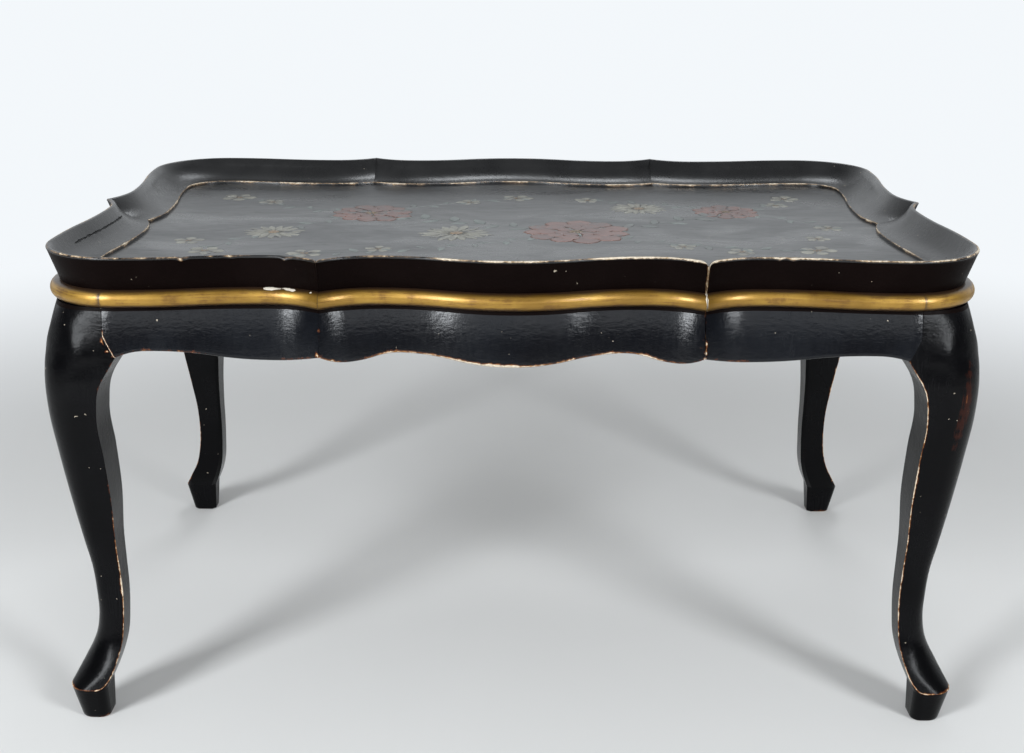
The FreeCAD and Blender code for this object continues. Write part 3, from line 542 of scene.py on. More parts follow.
def mouldingSection():
    section = [(moulding["back"], moulding["top"], 1.0)]
    middle = (moulding["top"] + moulding["foot"]) / 2
    for i in range(moulding["steps"] + 1):
        turn = math.pi * i / moulding["steps"]
        # painted shade with grime: darker along the top, where the rim sits, and on the underside of the
        # round
        grime = max(0.0, math.cos(turn) - 0.5) / 0.5 + max(0.0, -math.cos(turn) - 0.25) / 0.6
        inset = moulding["nose"] + moulding["radius"] * (1 - math.sin(turn))
        section.append((inset, middle + moulding["radius"] * math.cos(turn), grime))
    section.append((moulding["back"], moulding["foot"], 1.0))
    return section


mouldingProfile = mouldingSection()
mouldingShadeAndGrime = [grime for _, _, grime in mouldingProfile]


def makeMoulding(name, rows, flip, atStart, atEnd):
    wear = edgeMarks(rows, [0.0] * len(rows), atStart, atEnd, moulding["endReach"])
    wear = np.maximum(wear, spotWear(rows, moulding["chips"], flip))
    grime = edgeMarks(rows, mouldingShadeAndGrime, moulding["endGrime"], moulding["endGrime"], moulding["grimeReach"])
    makePiece(name, rows, {"wear": wear, "grime": grime}, antiqueGilt, flip)


for end, flip in ends:
    rows = middleSection(mouldingProfile, end)
    makeMoulding(f"moulding{end}Centre", rows, flip, 0.4, 0.8 if end == "Front" else 0.3)
for end, side, flip in quarters:
    gap = jointGap(end, side)
    samples = runSamples([3, 4, 5, 6], (16, 8, 8, 6), closeStart=True)
    rows = sectionRows(mouldingProfile, samples, (0, cuspX + gap), (0, seam - hairline))
    makeMoulding(f"moulding{end}{side}", rows, flip, 0.8 if gap == openJoint else 0.3, 0.15)
    samples = runSamples([6], (18,))
    rows = sectionRows(mouldingProfile, samples, (0, seam + hairline), (1, sideSeam - hairline))
    makeMoulding(f"mouldingCorner{end}{side}", rows, flip, 0.15, 0.15)
    samples = runSamples([6, 7, 8, 9], (6, 12, 12, 16), closeEnd=True)
    rows = sectionRows(mouldingProfile, samples, (1, sideSeam + hairline), (1, -hairline))
    makeMoulding(f"moulding{side}{end}", rows, flip, 0.15, 0.3)
print("moulding made")


# aprons: swelling face, scalloped and rounded lower edge, flat back
apron = dict(
    top=438, swellAt=365, swell=271.45, low=385.5, mid=394, arch=400, frontArch=dict(Left=397.5, Right=395.5),
    ear=391, earTop=412, earReach=11, back=247, sideBack=405, backInset=25, edge=2.7, endReach=1.6,
    midRun=105, lowRun=50.7, cuspRun=25.3, outerRun=47, earRun=28,    # lengths of the scallop's curves
    shares=(0, 0.065, 0.13, 0.2, 0.28, 0.36, 0.44, 0.52, 0.6, 0.68, 0.76, 0.84, 0.9, 0.95, 0.98, 1),
    wear=[0.0] * 13 + [0.05, 0.3, 0.55] + [0.85, 0.9, 0.6, 0.25] + [0, 0],
    spots=[(183, -299, 410, 2.6, 1.2), (182.5, -300, 405, 2.8, 1.3), (182, -301, 400.5, 2.4, 1.2),
           (181, -301.5, 394.5, 3, 1.25), (177.5, -299.5, 412, 4, 0.75), (177, -300, 405, 4.5, 0.78),
           (-183, -300, 396, 5, 0.72), (-181, -296, 420, 3, 0.6)],
    rubs=[(-30, 52, 0.34), (146, 18, 0.34)],    # along the lower edge in front
    seamWear=(1.1, 2.0, 388, 421),    # strength, reach and heights at the left front leg
)


def setBack(z):
    return apron["swell"] - math.sqrt(apron["swell"] ** 2 - (z - apron["swellAt"]) ** 2)


# two arcs that meet half way between two levels
def sway(t, run, start, finish):
    rise = abs(finish - start)
    radius = (run ** 2 + rise ** 2) / (4 * rise)
    t = min(max(t, 0), run)
    near = min(t, run - t)
    part = radius - math.sqrt(radius ** 2 - near ** 2)
    sign = 1 if finish > start else -1
    return start + sign * part if t < run / 2 else finish - sign * part


# one arc that leaves a level gently
def easeArc(t, run, level, finish):
    rise = abs(finish - level)
    radius = (run ** 2 + rise ** 2) / (2 * rise)
    t = min(max(t, 0), run)
    part = radius - math.sqrt(radius ** 2 - t ** 2)
    return level + part if finish > level else level - part


def middleScallop(x):
    x = abs(x)
    lowAt = apron["midRun"] + apron["lowRun"]
    if x < apron["midRun"]:
        return sway(x, apron["midRun"], apron["low"], apron["mid"])
    if x < lowAt:
        return sway(x - apron["midRun"], apron["lowRun"], apron["mid"], apron["low"])
    return easeArc(x - lowAt, apron["cuspRun"], apron["low"], apron["mid"])


def outerScallop(s, length, arch):
    outer, ear = apron["outerRun"], apron["earRun"]
    if s < outer:
        return easeArc(outer - s, outer, apron["low"], apron["mid"])
    if s < length - ear:
        return sway(s - outer, length - outer - ear, apron["low"], arch)
    return easeArc(s - length + ear, ear, arch, apron["ear"])


# how far the leg's seam slants out over the ear
def seamAt(z):
    return apron["earReach"] * min(1.0, max(0.0, (apron["earTop"] - z) / (apron["earTop"] - apron["ear"])))


# one column: face rows, the round of the lower edge, underside and back
def apronColumn(sample, low, startCut, endCut, onSide):
    def point(inset, z):
        return planPoint(sample, inset, startCut and startCut(z), endCut and endCut(z))

    column = []
    for share in apron["shares"]:
        z = apron["top"] + (low + apron["edge"] - apron["top"]) * share
        column.append((*point(setBack(z), z), z))
    for i in range(1, 5):
        turn = math.pi / 2 * i / 4
        z = low + apron["edge"] * (1 - math.sin(turn))
        column.append((*point(setBack(low + apron["edge"]) + apron["edge"] * (1 - math.cos(turn)), z), z))
    for z in (low, apron["top"]):
        x, y = point(apron["backInset"], z)
        column.append((apron["sideBack"], y, z) if onSide else (x, -apron["back"], z))
    return column


# wear along the joint at the end of a run, between two heights
def seamMarks(rows, much, reach, low, high):
    away = np.linalg.norm(rows - rows[:, [-1]], axis=2)
    band = np.clip((rows[..., 2] - low) / 3, 0, 1) * np.clip((high - rows[..., 2]) / 5, 0, 1)
    return much * np.clip(1 - away / reach, 0, 1) * band


def makeApron(name, rows, flip, atStart, atEnd, rubbed):
    wear = edgeMarks(rows, np.array(apron["wear"]) * rubbed, atStart, atEnd, apron["endReach"])
    if name == "apronFrontCentre":
        wear = wear + np.sqrt(apron["wear"])[:, None] * edgeRubs(rows[..., 0], apron["rubs"])
    if name == "apronFrontLeft":
        wear = np.maximum(wear, seamMarks(rows, *apron["seamWear"]))
    wear = np.maximum(wear, spotWear(rows, apron["spots"], flip))
    # the top row, just under the moulding, takes the darker, duller copy of the lacquer: painted shade under
    # the moulding
    makePiece(name, rows, {"wear": wear}, blackLacquer, flip, shadedFinish=shadedLacquer,
              shadedRows=1)


for end, flip in ends:
    def middleColumn(sample, side):
        reach = cuspX - jointGap(end, side)
        x, _ = planPoint(sample, 3, None, (0, reach))
        return apronColumn(sample, middleScallop(x), None, lambda z: (0, reach), False)
    rows = middleRun(middleColumn, (18, 12, 20))
    makeApron(f"apron{end}Centre", rows, flip, 0.3, 0.3, 0.86 if end == "Front" else 0.6)
for end, side, flip in quarters:
    gap = jointGap(end, side)
    earX, earY = seam - apron["earReach"], sideSeam + apron["earReach"]
    arch = apron["frontArch"][side] if end == "Front" else apron["arch"]
    columns = []
    for sample in runSamples([3, 4, 5, 6], (20, 10, 12, 6), closeStart=True):
        x, _ = planPoint(sample, 1, (0, cuspX + gap), (0, earX))
        low = outerScallop(x - cuspX, earX - cuspX, arch)
        columns.append(apronColumn(sample, low, lambda z: (0, cuspX + gap),
                                   lambda z: (0, seam - seamAt(z) - hairline), False))
    makeApron(f"apron{end}{side}", asRows(columns), flip, 0.3, 0.2, 0.46)
    columns = []
    for sample in runSamples([6, 7, 8, 9], (6, 14, 14, 20), closeEnd=True):
        _, y = planPoint(sample, 1, (1, earY), (1, -hairline))
        low = outerScallop(-y, -earY, apron["arch"])
        columns.append(apronColumn(sample, low, lambda z: (1, sideSeam + seamAt(z) + hairline),
                                   lambda z: (1, -hairline), True))
    makeApron(f"apron{side}{end}", asRows(columns), flip, 0.2, 0.3, 0.5)
print("aprons made")


# cabriole legs: stations of height, outer set-back, inner face, outer round, inner bevel
leg = dict(
    cornerX=455, cornerY=-297, corner=82, arris=0.6, toe=36, toeRound=9, earFace=80, earIn=11, seamFade=42,
    earFade=32, swellFade=26, seamArris=0.12, flareTop=80, soleTop=14, arrisFrom=190, arrisFade=90,
    creaseColumns=8,
    stations=[
        (438, 6.9, 69, 72, 0.8), (432, 4.8, 69, 70.7, 0.8), (426, 3.3, 69, 69.5, 0.8),
        (420, 2.2, 69, 68.2, 0.8), (412, 1.3, 69, 66.5, 0.8), (402, 0.6, 74, 62.6, 3.4),
        (391, 0.1, 80, 58.3, 6.3), (379, 0.02, 72.5, 49.8, 8.6), (365, 0.1, 64, 44.2, 10.2),
        (332.1, 2.25, 57.4, 35.9, 8.3), (287.5, 8.1, 59.2, 29.1, 6.1), (238.1, 15.15, 60.5, 23.6, 4.5),
        (191.1, 22.95, 58.8, 17, 3.6), (158.2, 28.35, 59.05, 13.5, 3.4), (130, 30, 59.5, 13, 3.8),
        (104.6, 28.6, 58.5, 20, 4), (77.4, 22.9, 55.8, 27, 4.5), (52.9, 10.6, 48.6, 33, 5),
        (36, 1.5, 41.5, 22, 5.5),
    ],
    sole=(0, 10, 40, 14, 4.5),
    knee=[(436, -284, 386, 6, 0.5), (436, -286, 376, 7.5, 0.6), (435.5, -288, 364, 8.5, 0.72),
          (435, -289, 352, 9, 0.8), (433.5, -289.5, 340, 9, 0.8), (432, -289.5, 328, 8.5, 0.7),
          (430, -289, 316, 8, 0.6), (428, -288.5, 304, 7, 0.5)],
    spots=dict(
        legFrontRight=[(375, -293, 391, 5, 0.6)],
        legFrontLeft=[(-386.6, -293.2, 412, 1.8, 1.3), (-387, -293.2, 408.5, 2.2, 1.45),
                      (-384.5, -293.4, 403, 1.6, 1.3), (-381.2, -294, 398, 1.6, 1.2),
                      (-377, -294.6, 392.5, 1.8, 1.1)],
        legBackRight=[], legBackLeft=[],
    ),
    # high up and low down
    arrisWear=dict(legFrontRight=(0.98, 0.95), legFrontLeft=(0.45, 0.9), legBackRight=(0.7, 0.8),
                   legBackLeft=(0.75, 0.8)),
)


# one value of the stations at a height, smooth between the rows
def stationValue(column, z):
    rows = [row for row in leg["stations"] if column != 2 or row[0] <= apron["ear"]]
    table = np.array(rows[::-1], float)
    knots, values = table[:, 0], table[:, column]
    if z <= leg["toe"]:
        return values[0] + (leg["sole"][column] - values[0]) * (1 - z / leg["toe"])
    if column == 2 and z > knots[-1]:
        return values[-1] - leg["earIn"] * min(1.0, (z - knots[-1]) / (apron["earTop"] - apron["ear"]))
    slopes = np.gradient(values, knots)
    place = int(np.clip(np.searchsorted(knots, z) - 1, 0, len(knots) - 2))
    step = knots[place + 1] - knots[place]
    t = (z - knots[place]) / step
    return ((2 * t ** 3 - 3 * t ** 2 + 1) * values[place] + (t ** 3 - 2 * t ** 2 + t) * step * slopes[place]
            + (3 * t ** 2 - 2 * t ** 3) * values[place + 1] + (t ** 3 - t ** 2) * step * slopes[place + 1])


def smoothShare(value):
    value = min(1.0, max(0.0, value))
    return value * value * (3 - 2 * value)


# half a loop from the inner bevel round one arris to the middle of the outer corner, as u, v, wear
def legHalfLoop(z, tuck):
    outer, inner, corner, bevel = (stationValue(column, z) for column in (1, 2, 3, 4))
    outer += tuck
    inner -= tuck
    middle = outer + corner
    seamSide = inner
    if z > apron["ear"]:
        seamSide = leg["earFace"] - leg["earIn"] * smoothShare((z - apron["ear"]) / leg["earFade"])

    def faceV(u):
        face = outer if u > middle else middle - math.sqrt(max(0.0, corner ** 2 - (middle - u) ** 2))
        if z <= apron["swellAt"]:
            return face
        swellFace = leg["corner"] - math.sqrt((leg["corner"] - setBack(z)) ** 2 - (leg["corner"] - u) ** 2)
        share = 1 - smoothShare((seamSide - u) / leg["seamFade"])
        return face + (swellFace - face) * share * smoothShare((z - apron["swellAt"]) / leg["swellFade"])

    # below the flare the toe's inner corner is round
    # the flare cuts it along a line that runs on from the arris
    r = leg["seamArris"] if z > apron["ear"] else leg["arris"]
    toeRound = leg["toeRound"]
    wall = outer if z <= leg["toe"] else stationValue(1, leg["toe"])
    cut = min(1.0, max(0.0, (wall + toeRound - outer) / toeRound)) if z < leg["flareTop"] else 0.0
    sharp = cut < 0.02
    last = inner - max(bevel, 0.3)
    if cut > 0.02:
        turns = [math.asin(cut) * i / 4 for i in range(5)]
        crease = [(inner - toeRound * (1 - math.cos(turn)), wall + toeRound * (1 - math.sin(turn)))
                  for turn in turns]
    else:
        edge = faceV(inner)
        crease = [(inner, edge + r * share) for share in (1.6, 1.4, 1.2, 1.1, 1.0)]
    u = crease[-1][0]
    start = u - r
    foot = crease[0][1]
    spare = last - foot
    loop = [(inner, last, 0.08), (inner, foot + min(3.0, 0.6 * spare), 0.0)]
    loop.append((inner, foot + min(1.0, 0.3 * spare), 0.3 if sharp else 0.0))
    along = (0.6, 0.7, 0.75, 0.8, 0.9) if cut < 0.3 else (0, 0, 0.1, 0.5, 0.9)
    loop += [(cu, cv, wear) for (cu, cv), wear in zip(crease, along)]
    loop += [(u - 0.3 * r, faceV(u - 0.3 * r) + (0.3 * r if sharp else 0), 1.0), (start, faceV(start), 0.8)]
    reach = start - (middle - corner * math.sqrt(0.5))
    near, far = min(1.0, 0.06 * reach), min(3.0, 0.14 * reach)
    loop += [(start - near, faceV(start - near), 0.35), (start - far, faceV(start - far), 0.0)]
    straight = start - far - middle
    firstTurn = 0.0 if straight > 0 else math.asin(min(1.0, -straight / corner))
    for share in (0.35, 0.7):
        side = start - far - straight * share
        if straight <= 0:
            side = middle - corner * math.sin(firstTurn + (math.pi / 4 - firstTurn) * share * 0.08)
        loop.append((side, faceV(side), 0.0))
    for i in range(1, 13):
        turn = firstTurn + (math.pi / 4 - firstTurn) * (0.07 + 0.93 * i / 12)
        side = middle - corner * math.sin(turn)
        loop.append((side, faceV(side), 0.0))
    if z < leg["toe"] - 0.5:
        loop = [(cu, cv, 0.0) for cu, cv, _ in loop]
    return loop


# heights of the rows, with the tuck of the rounded sole
def legRows():
    heights = [438, 434.6, 431, 427, 423, 419, 416, 413, 410, 407, 404, 401, 398, 395.5, 393]
    heights += list(np.linspace(391, 365, 9)) + list(np.linspace(365, 60, 62)[1:])
    heights += list(np.linspace(60, leg["toe"], 16)[1:])
    heights += [35.4, 34, 28, 20, 12, 5, 1.2]
    return [(z, 0.0) for z in heights] + [(0.5, 0.25), (0, 0.9)]


def toeWear(z):
    if z < leg["soleTop"]:
        return max(0.0, 0.7 - z / 4)
    return max(0.0, 1 - abs(z - leg["toe"]) / (3.0 if z > leg["toe"] else 1.6)) * 0.95


rowsOfLeg = legRows()
halfLoops = [legHalfLoop(*row) for row in rowsOfLeg]
for end, side, flip in quarters:
    name = f"leg{end}{side}"
    columns, marks = [], []
    high, low = leg["arrisWear"][name]
    for (z, tuck), half in zip(rowsOfLeg, halfLoops):
        loop = half + [(v, u, w) for u, v, w in half[-2::-1]]
        columns.append([(leg["cornerX"] - u, leg["cornerY"] + v, z) for u, v, _ in loop])
        much = 0.3
        if z <= apron["ear"]:
            much = low + (high - low) * smoothShare((z - leg["arrisFrom"]) / leg["arrisFade"])
        toe = toeWear(z)
        crease = leg["creaseColumns"]
        outside = [crease <= i < len(loop) - crease or z < leg["soleTop"] for i in range(len(loop))]
        marks.append([max(w * much, toe if out else 0.0) for (_, _, w), out in zip(loop, outside)])
    rows = asRows(columns)
    wear = np.maximum(np.array(marks).T, spotWear(rows, leg["spots"][name], flip))
    streak = spotWear(rows, leg["knee"], flip)
    # the legs take a darker copy of the lacquer as painted shade, and their top band under the moulding the
    # darkest, dullest copy, more painted shade
    makePiece(name, rows, {"wear": wear, "streak": streak}, legLacquer, flip, sharp=32,
              shadedFinish=shadedLacquer, shadedColumns=1)
print("legs made")


# tray floor board, blocks, bearers and tongues keep their solids
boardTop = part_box("tray_floor")[1].z
ringStain = dict(place=(0.252, -0.072, boardTop), radius=0.043)


def boardPaint():
    finish, tree, shader = newFinish("paintedBoard")
    place = objectPlace(tree)
    cloudy = cloud(place, 6, 5)
    haze = cloud(objectPlace(tree, (2.2, 4.5, 2)), 3, 5, 0.62, 0.8)
    fine = cloud(place, 420, 3)
    scuffs = cloud(objectPlace(tree, (7, 55, 1), (0, 0, 0.25)), 6, 4, 0.65)
    pits = cloud(place, 150, 2)
    colour = tint(ease(cloudy, 0.36, 0.66), (0.0085, 0.0092, 0.0102), (0.0160, 0.0170, 0.0182))
    colour = tint(ease(haze, 0.46, 0.74, 0, 0.5), colour, (0.036, 0.0385, 0.041))
    colour = tint(ease(pits, 0.745, 0.775, 0, 0.5), colour, (0.20, 0.15, 0.10))
    ring = addNode(tree, "ShaderNodeVectorMath", {0: place, 1: ringStain["place"]}, operation="DISTANCE")
    away = minus(plus(ring.outputs["Value"], times(haze, 0.006)), ringStain["radius"])
    stain = times(ease(sums("ABSOLUTE", away, 0), 0.0025, 0.0008), ease(scuffs, 0.38, 0.55))
    height = addNode(tree, "ShaderNodeSeparateXYZ", {0: place}).outputs["Z"]
    stain = times(stain, ease(height, boardTop - 0.002, boardTop - 0.0005))
    colour = tint(times(stain, 0.4), colour, (0.075, 0.07, 0.06))
    rough = plus(ease(haze, 0.3, 0.72, 0.24, 0.40), ease(scuffs, 0.52, 0.72, 0, 0.1))
    bump = relief(cloudy, 0.0012, 0.2, relief(fine, 0.00008, 0.3))
    fill(shader, {"Base Color": colour, "Roughness": rough, "Specular IOR Level": 0.62, "Normal": bump})
    return finish


keptFinishes = dict(tray_floor=boardPaint(), corner_block=blockWood, joint_block=blockWood, bearer=bearerWood,
                    apron_joint_tongues=tongueWood, rim_joint_tongues=tongueWood)
for nodeName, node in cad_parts.items():
    for start, finish in keptFinishes.items():
        if nodeName.startswith(start):
            node.data.materials.clear()
            node.data.materials.append(finish)
print("board, blocks and bearers finished")


# painted flowers: thin raised paint on the board, petals and leaves set out by Geometry Nodes
def paint(name, heart, tip, edge, worn):
    finish, tree, shader = newFinish(name)
    place = objectPlace(tree)
    patches = cloud(place, 38, 5, 0.65)
    grains = cloud(place, 300, 3)
    strokes = cloud(objectPlace(tree, (90, 30, 1), (0, 0, 0.7)), 6, 3)
    colour = tint(ease(marked(tree, "reach"), 0.1, 0.95), heart, tip)
    colour = tint(ease(marked(tree, "margin"), 0.5, 1.0, 0, 0.8), colour, edge)
    colour = tint(ease(strokes, 0.4, 0.7, 0, 0.35), colour, scaled(tip, 0.45))
    colour = tint(ease(marked(tree, "shade"), 0, 1, 0, 0.45), colour, scaled(heart, 0.35))
    lost = ease(swing(patches, grains, 0.55), worn, worn + 0.13)
    colour = tint(lost, colour, (0.014, 0.0138, 0.0134))
    bump = relief(strokes, 0.0003, 0.4, relief(grains, 0.0001, 0.4))
    rough = ease(lost, 0, 1, 0.36, 0.30)
    fill(shader, {"Base Color": colour, "Roughness": rough, "Specular IOR Level": 0.62, "Normal": bump})
    return finish


redPaint = paint("redPaint", (0.075, 0.020, 0.014), (0.145, 0.052, 0.037), (0.21, 0.115, 0.085), 0.53)
creamPaint = paint("creamPaint", (0.13, 0.12, 0.085), (0.23, 0.225, 0.18), (0.29, 0.285, 0.24), 0.53)
leafPaint = paint("leafPaint", (0.050, 0.066, 0.060), (0.115, 0.145, 0.132), (0.165, 0.19, 0.17), 0.53)
ochrePaint = paint("ochrePaint", (0.16, 0.085, 0.025), (0.22, 0.13, 0.045), (0.26, 0.17, 0.07), 0.60)


# a thin closed shape of unit length along x: outline, raised top and flat underside
def paintShape(name, halfWidth, fullAt, steps=7, high=0.006):
    upper = []
    for i in range(steps + 1):
        t = i / steps
        across = math.sin(math.pi * t ** fullAt) ** 0.8 if 0 < t < 1 else 0
        upper.append((t, halfWidth * across))
    outline = upper + [(x, -y) for x, y in upper[-2:0:-1]]
    count = len(outline)
    points = [(x, y, 0) for x, y in outline]
    points += [(0.5 + (x - 0.5) * 0.86, y * 0.78, 0.8 * high) for x, y in outline]
    points += [(0.5 + (x - 0.5) * 0.55, y * 0.45, high) for x, y in outline]
    faces = [list(range(count))[::-1], list(range(2 * count, 3 * count))]
    for ring in (0, count):
        for i in range(count):
            j = (i + 1) % count
            faces.append([ring + i, ring + j, ring + count + j, ring + count + i])
    mesh = bpy.data.meshes.new(name)
    mesh.from_pydata(points, [], faces)
    mesh.polygons.foreach_set("use_smooth", [True] * len(faces))
    setMark(mesh, "reach", [x for x, _, _ in points])
    setMark(mesh, "margin", [1.0] * count + [0.6] * count + [0.0] * count)
    return addObject(name, mesh)


broadPetal = paintShape("broadPetal", 0.40, 1.5)
slimPetal = paintShape("slimPetal", 0.15, 1.3)
leafShape = paintShape("leafShape", 0.22, 0.85)

# inputs of the trees and their kinds
socketKinds = dict(Shape="Object", Petals="Int", Ring="Float", Leaves="Int", Size="Float", Spread="Float",
                   Ragged="Float", Seed="Int", Paint="Material")


def newTree(name, inputs):
    tree = bpy.data.node_groups.new(name, "GeometryNodeTree")
    tree.interface.new_socket("Geometry", in_out="INPUT", socket_type="NodeSocketGeometry")
    for label in inputs:
        tree.interface.new_socket(label, in_out="INPUT", socket_type="NodeSocket" + socketKinds[label])
    tree.interface.new_socket("Geometry", in_out="OUTPUT", socket_type="NodeSocketGeometry")
    tree.is_modifier = True
    return tree, tree.nodes.new("NodeGroupInput"), tree.nodes.new("NodeGroupOutput")


def randomly(start, low, high, extra=0):
    seed = start.outputs["Seed"]
    inputs = {2: low, 3: high, "Seed": plus(seed, extra) if extra else seed}
    return addNode(start.id_data, "FunctionNodeRandomValue", inputs, data_type="FLOAT").outputs[1]


# instances turned about z and sized, then realized with a shade of their own
def setOut(start, end, points, turn):
    tree, given = start.id_data, start.outputs
    rotation = addNode(tree, "ShaderNodeCombineXYZ", {"Z": turn})
    euler = addNode(tree, "FunctionNodeEulerToRotation", {0: rotation.outputs[0]})
    info = addNode(tree, "GeometryNodeObjectInfo", {"Object": given["Shape"]})
    size = times(given["Size"], randomly(start, 0.88, 1.12, 7))
    place = addNode(tree, "GeometryNodeInstanceOnPoints", {
        "Points": points, "Instance": info.outputs["Geometry"], "Rotation": euler.outputs[0], "Scale": size})
    inputs = {"Geometry": place.outputs["Instances"], "Name": "shade"}
    store = addNode(tree, "GeometryNodeStoreNamedAttribute", inputs, data_type="FLOAT", domain="INSTANCE")
    value = next(socket for socket in store.inputs if socket.name == "Value" and socket.enabled)
    feed(value, randomly(start, 0.0, 1.0))
    real = addNode(tree, "GeometryNodeRealizeInstances", {"Geometry": store.outputs["Geometry"]})
    inputs = {"Geometry": real.outputs["Geometry"], "Material": given["Paint"]}
    fill(end, {"Geometry": addNode(tree, "GeometryNodeSetMaterial", inputs).outputs["Geometry"]})


def flowerTree():
    tree, start, end = newTree("flowerHead", ["Shape", "Petals", "Ring", "Size", "Ragged", "Seed", "Paint"])
    given = start.outputs
    circle = addNode(tree, "GeometryNodeMeshCircle", {"Vertices": given["Petals"], "Radius": given["Ring"]})
    number = tree.nodes.new("GeometryNodeInputIndex").outputs[0]
    turn = times(sums("DIVIDE", number, given["Petals"]), 2 * math.pi)
    away = times(randomly(start, -1.0, 1.0, 3), given["Ragged"])
    setOut(start, end, circle.outputs["Mesh"], plus(turn, away))
    return tree


def leafTree():
    inputs = ["Shape", "Leaves", "Size", "Spread", "Ragged", "Seed", "Paint"]
    tree, start, end = newTree("leavesOnStem", inputs)
    given = start.outputs
    dots = addNode(tree, "GeometryNodeCurveToPoints", {"Curve": given["Geometry"], "Count": given["Leaves"]})
    parts = addNode(tree, "ShaderNodeSeparateXYZ", {0: dots.outputs["Tangent"]}).outputs
    along = sums("ARCTAN2", parts["Y"], parts["X"])
    number = tree.nodes.new("GeometryNodeInputIndex").outputs[0]
    side = minus(times(sums("MODULO", number, 2.0), 2.0), 1.0)
    away = times(randomly(start, -1.0, 1.0, 3), given["Ragged"])
    turn = plus(along, plus(times(side, given["Spread"]), away))
    setOut(start, end, dots.outputs["Points"], turn)
    return tree


def growMesh(tree, base, values):
    holder = addObject("growing", base)
    grow = holder.modifiers.new("grow", "NODES")
    grow.node_group = tree
    for socket in tree.interface.items_tree:
        if socket.item_type == "SOCKET" and socket.in_out == "INPUT" and socket.name in values:
            grow[socket.identifier] = values[socket.name]
    bpy.context.view_layer.update()
    graph = bpy.context.evaluated_depsgraph_get()
    grown = holder.evaluated_get(graph)
    mesh = bpy.data.meshes.new_from_object(grown, preserve_all_data_layers=True, depsgraph=graph)
    holder.modifiers.remove(grow)
    bpy.data.objects.remove(holder)
    return mesh


flowerHead = flowerTree()
leavesOnStem = leafTree()
emptyMesh = bpy.data.meshes.new("emptyMesh")

painting = dict(
    # place in mm on the board, then radius of the head
    rosette=[(70, -38, 60), (-165, 62, 50), (252, 78, 40)],
    daisy=[(-62, -48, 40), (150, 96, 34), (-262, -46, 34)],
    blossom=[(-338, 158, 21), (-292, 128, 17), (-345, -92, 17), (-318, -140, 20), (-214, -150, 19),
             (-140, -128, 15), (6, 160, 20), (-52, 132, 16), (92, 148, 16), (336, 162, 20), (318, 120, 15),
             (354, -14, 17), (318, -128, 21), (238, -136, 16), (180, -112, 15), (330, -70, 14)],
    stems=[((70, -38), (-60, 8), (-165, 62)), ((70, -38), (180, 0), (252, 78)),
           ((-165, 62), (-265, 84), (-338, 158)), ((-165, 62), (-240, -4), (-262, -46)),
           ((-262, -46), (-300, -80), (-318, -140)), ((252, 78), (312, 104), (336, 162)),
           ((70, -38), (180, -126), (318, -128)), ((70, -38), (-70, -140), (-214, -150)),
           ((252, 78), (328, 36), (354, -14)), ((-165, 62), (-86, 128), (6, 160)),
           ((252, 78), (176, 132), (92, 148))],
    leafSize=(26, 17), leafGap=17, stemWidth=1.5, stemHeight=0.12,
    stemLift=0.02, leafLift=0.03, headLift=0.05, ringLift=0.11,
    # rings of petals from the outside in: shape, number, ring, size, raggedness and paint
    rings=dict(
        rosette=[(broadPetal, 11, 0.40, 0.60, 0.10, redPaint), (broadPetal, 9, 0.22, 0.52, 0.12, redPaint),
                 (broadPetal, 6, 0.06, 0.38, 0.2, redPaint), (slimPetal, 9, 0.01, 0.14, 0.2, ochrePaint)],
        daisy=[(slimPetal, 17, 0.22, 0.78, 0.06, creamPaint), (slimPetal, 13, 0.14, 0.52, 0.1, creamPaint),
               (broadPetal, 8, 0.01, 0.18, 0.2, ochrePaint)],
        blossom=[(broadPetal, 5, 0.14, 0.84, 0.12, creamPaint), (slimPetal, 7, 0.02, 0.24, 0.3, ochrePaint)],
    ),
)


def placed(mesh, x, y, lift):
    mesh.transform(Matrix.Translation((x * mm, y * mm, boardTop + lift * mm)))
    return mesh


def headMeshes(kind, x, y, radius, seed):
    made = []
    for level, (shape, petals, ring, size, ragged, finish) in enumerate(painting["rings"][kind]):
        values = {"Shape": shape, "Petals": petals, "Ring": ring * radius * mm, "Size": size * radius * mm,
                  "Ragged": ragged, "Seed": seed + 11 * level, "Paint": finish}
        mesh = growMesh(flowerHead, emptyMesh, values)
        mesh.transform(Matrix.Rotation(seed * 0.7 + level * 0.31, 4, "Z"))
        made.append(placed(mesh, x, y, painting["headLift"] + painting["ringLift"] * level))
    return made


def stemPoints(stem, count):
    a, b, c = (Vector((*p, 0)) for p in stem)
    return [(1 - t) ** 2 * a + 2 * t * (1 - t) * b + t * t * c for t in (i / count for i in range(count + 1))]


def stemMesh(stem):
    line = stemPoints(stem, 24)
    lift = Vector((0, 0, painting["stemHeight"]))
    points, faces = [], []
    for i, p in enumerate(line):
        along = (line[min(i + 1, len(line) - 1)] - line[max(i - 1, 0)]).normalized()
        across = Vector((-along.y, along.x, 0)) * painting["stemWidth"] * (0.7 - 0.4 * i / len(line))
        points += [(p + across) * mm, (p - across) * mm]
        points += [(p - across * 0.6 + lift) * mm, (p + across * 0.6 + lift) * mm]
    for i in range(len(line) - 1):
        for k in range(4):
            faces.append([4 * i + k, 4 * i + 4 + k, 4 * i + 4 + (k + 1) % 4, 4 * i + (k + 1) % 4])
    faces += [[0, 1, 2, 3], [4 * len(line) - 1 - k for k in range(4)]]
    mesh = bpy.data.meshes.new("stem")
    mesh.from_pydata([tuple(p) for p in points], [], faces)
    for mark, value in (("reach", 0.3), ("margin", 0.2), ("shade", 0.3)):
        setMark(mesh, mark, [value] * len(points))
    mesh.materials.append(leafPaint)
    return placed(mesh, 0, 0, painting["stemLift"])


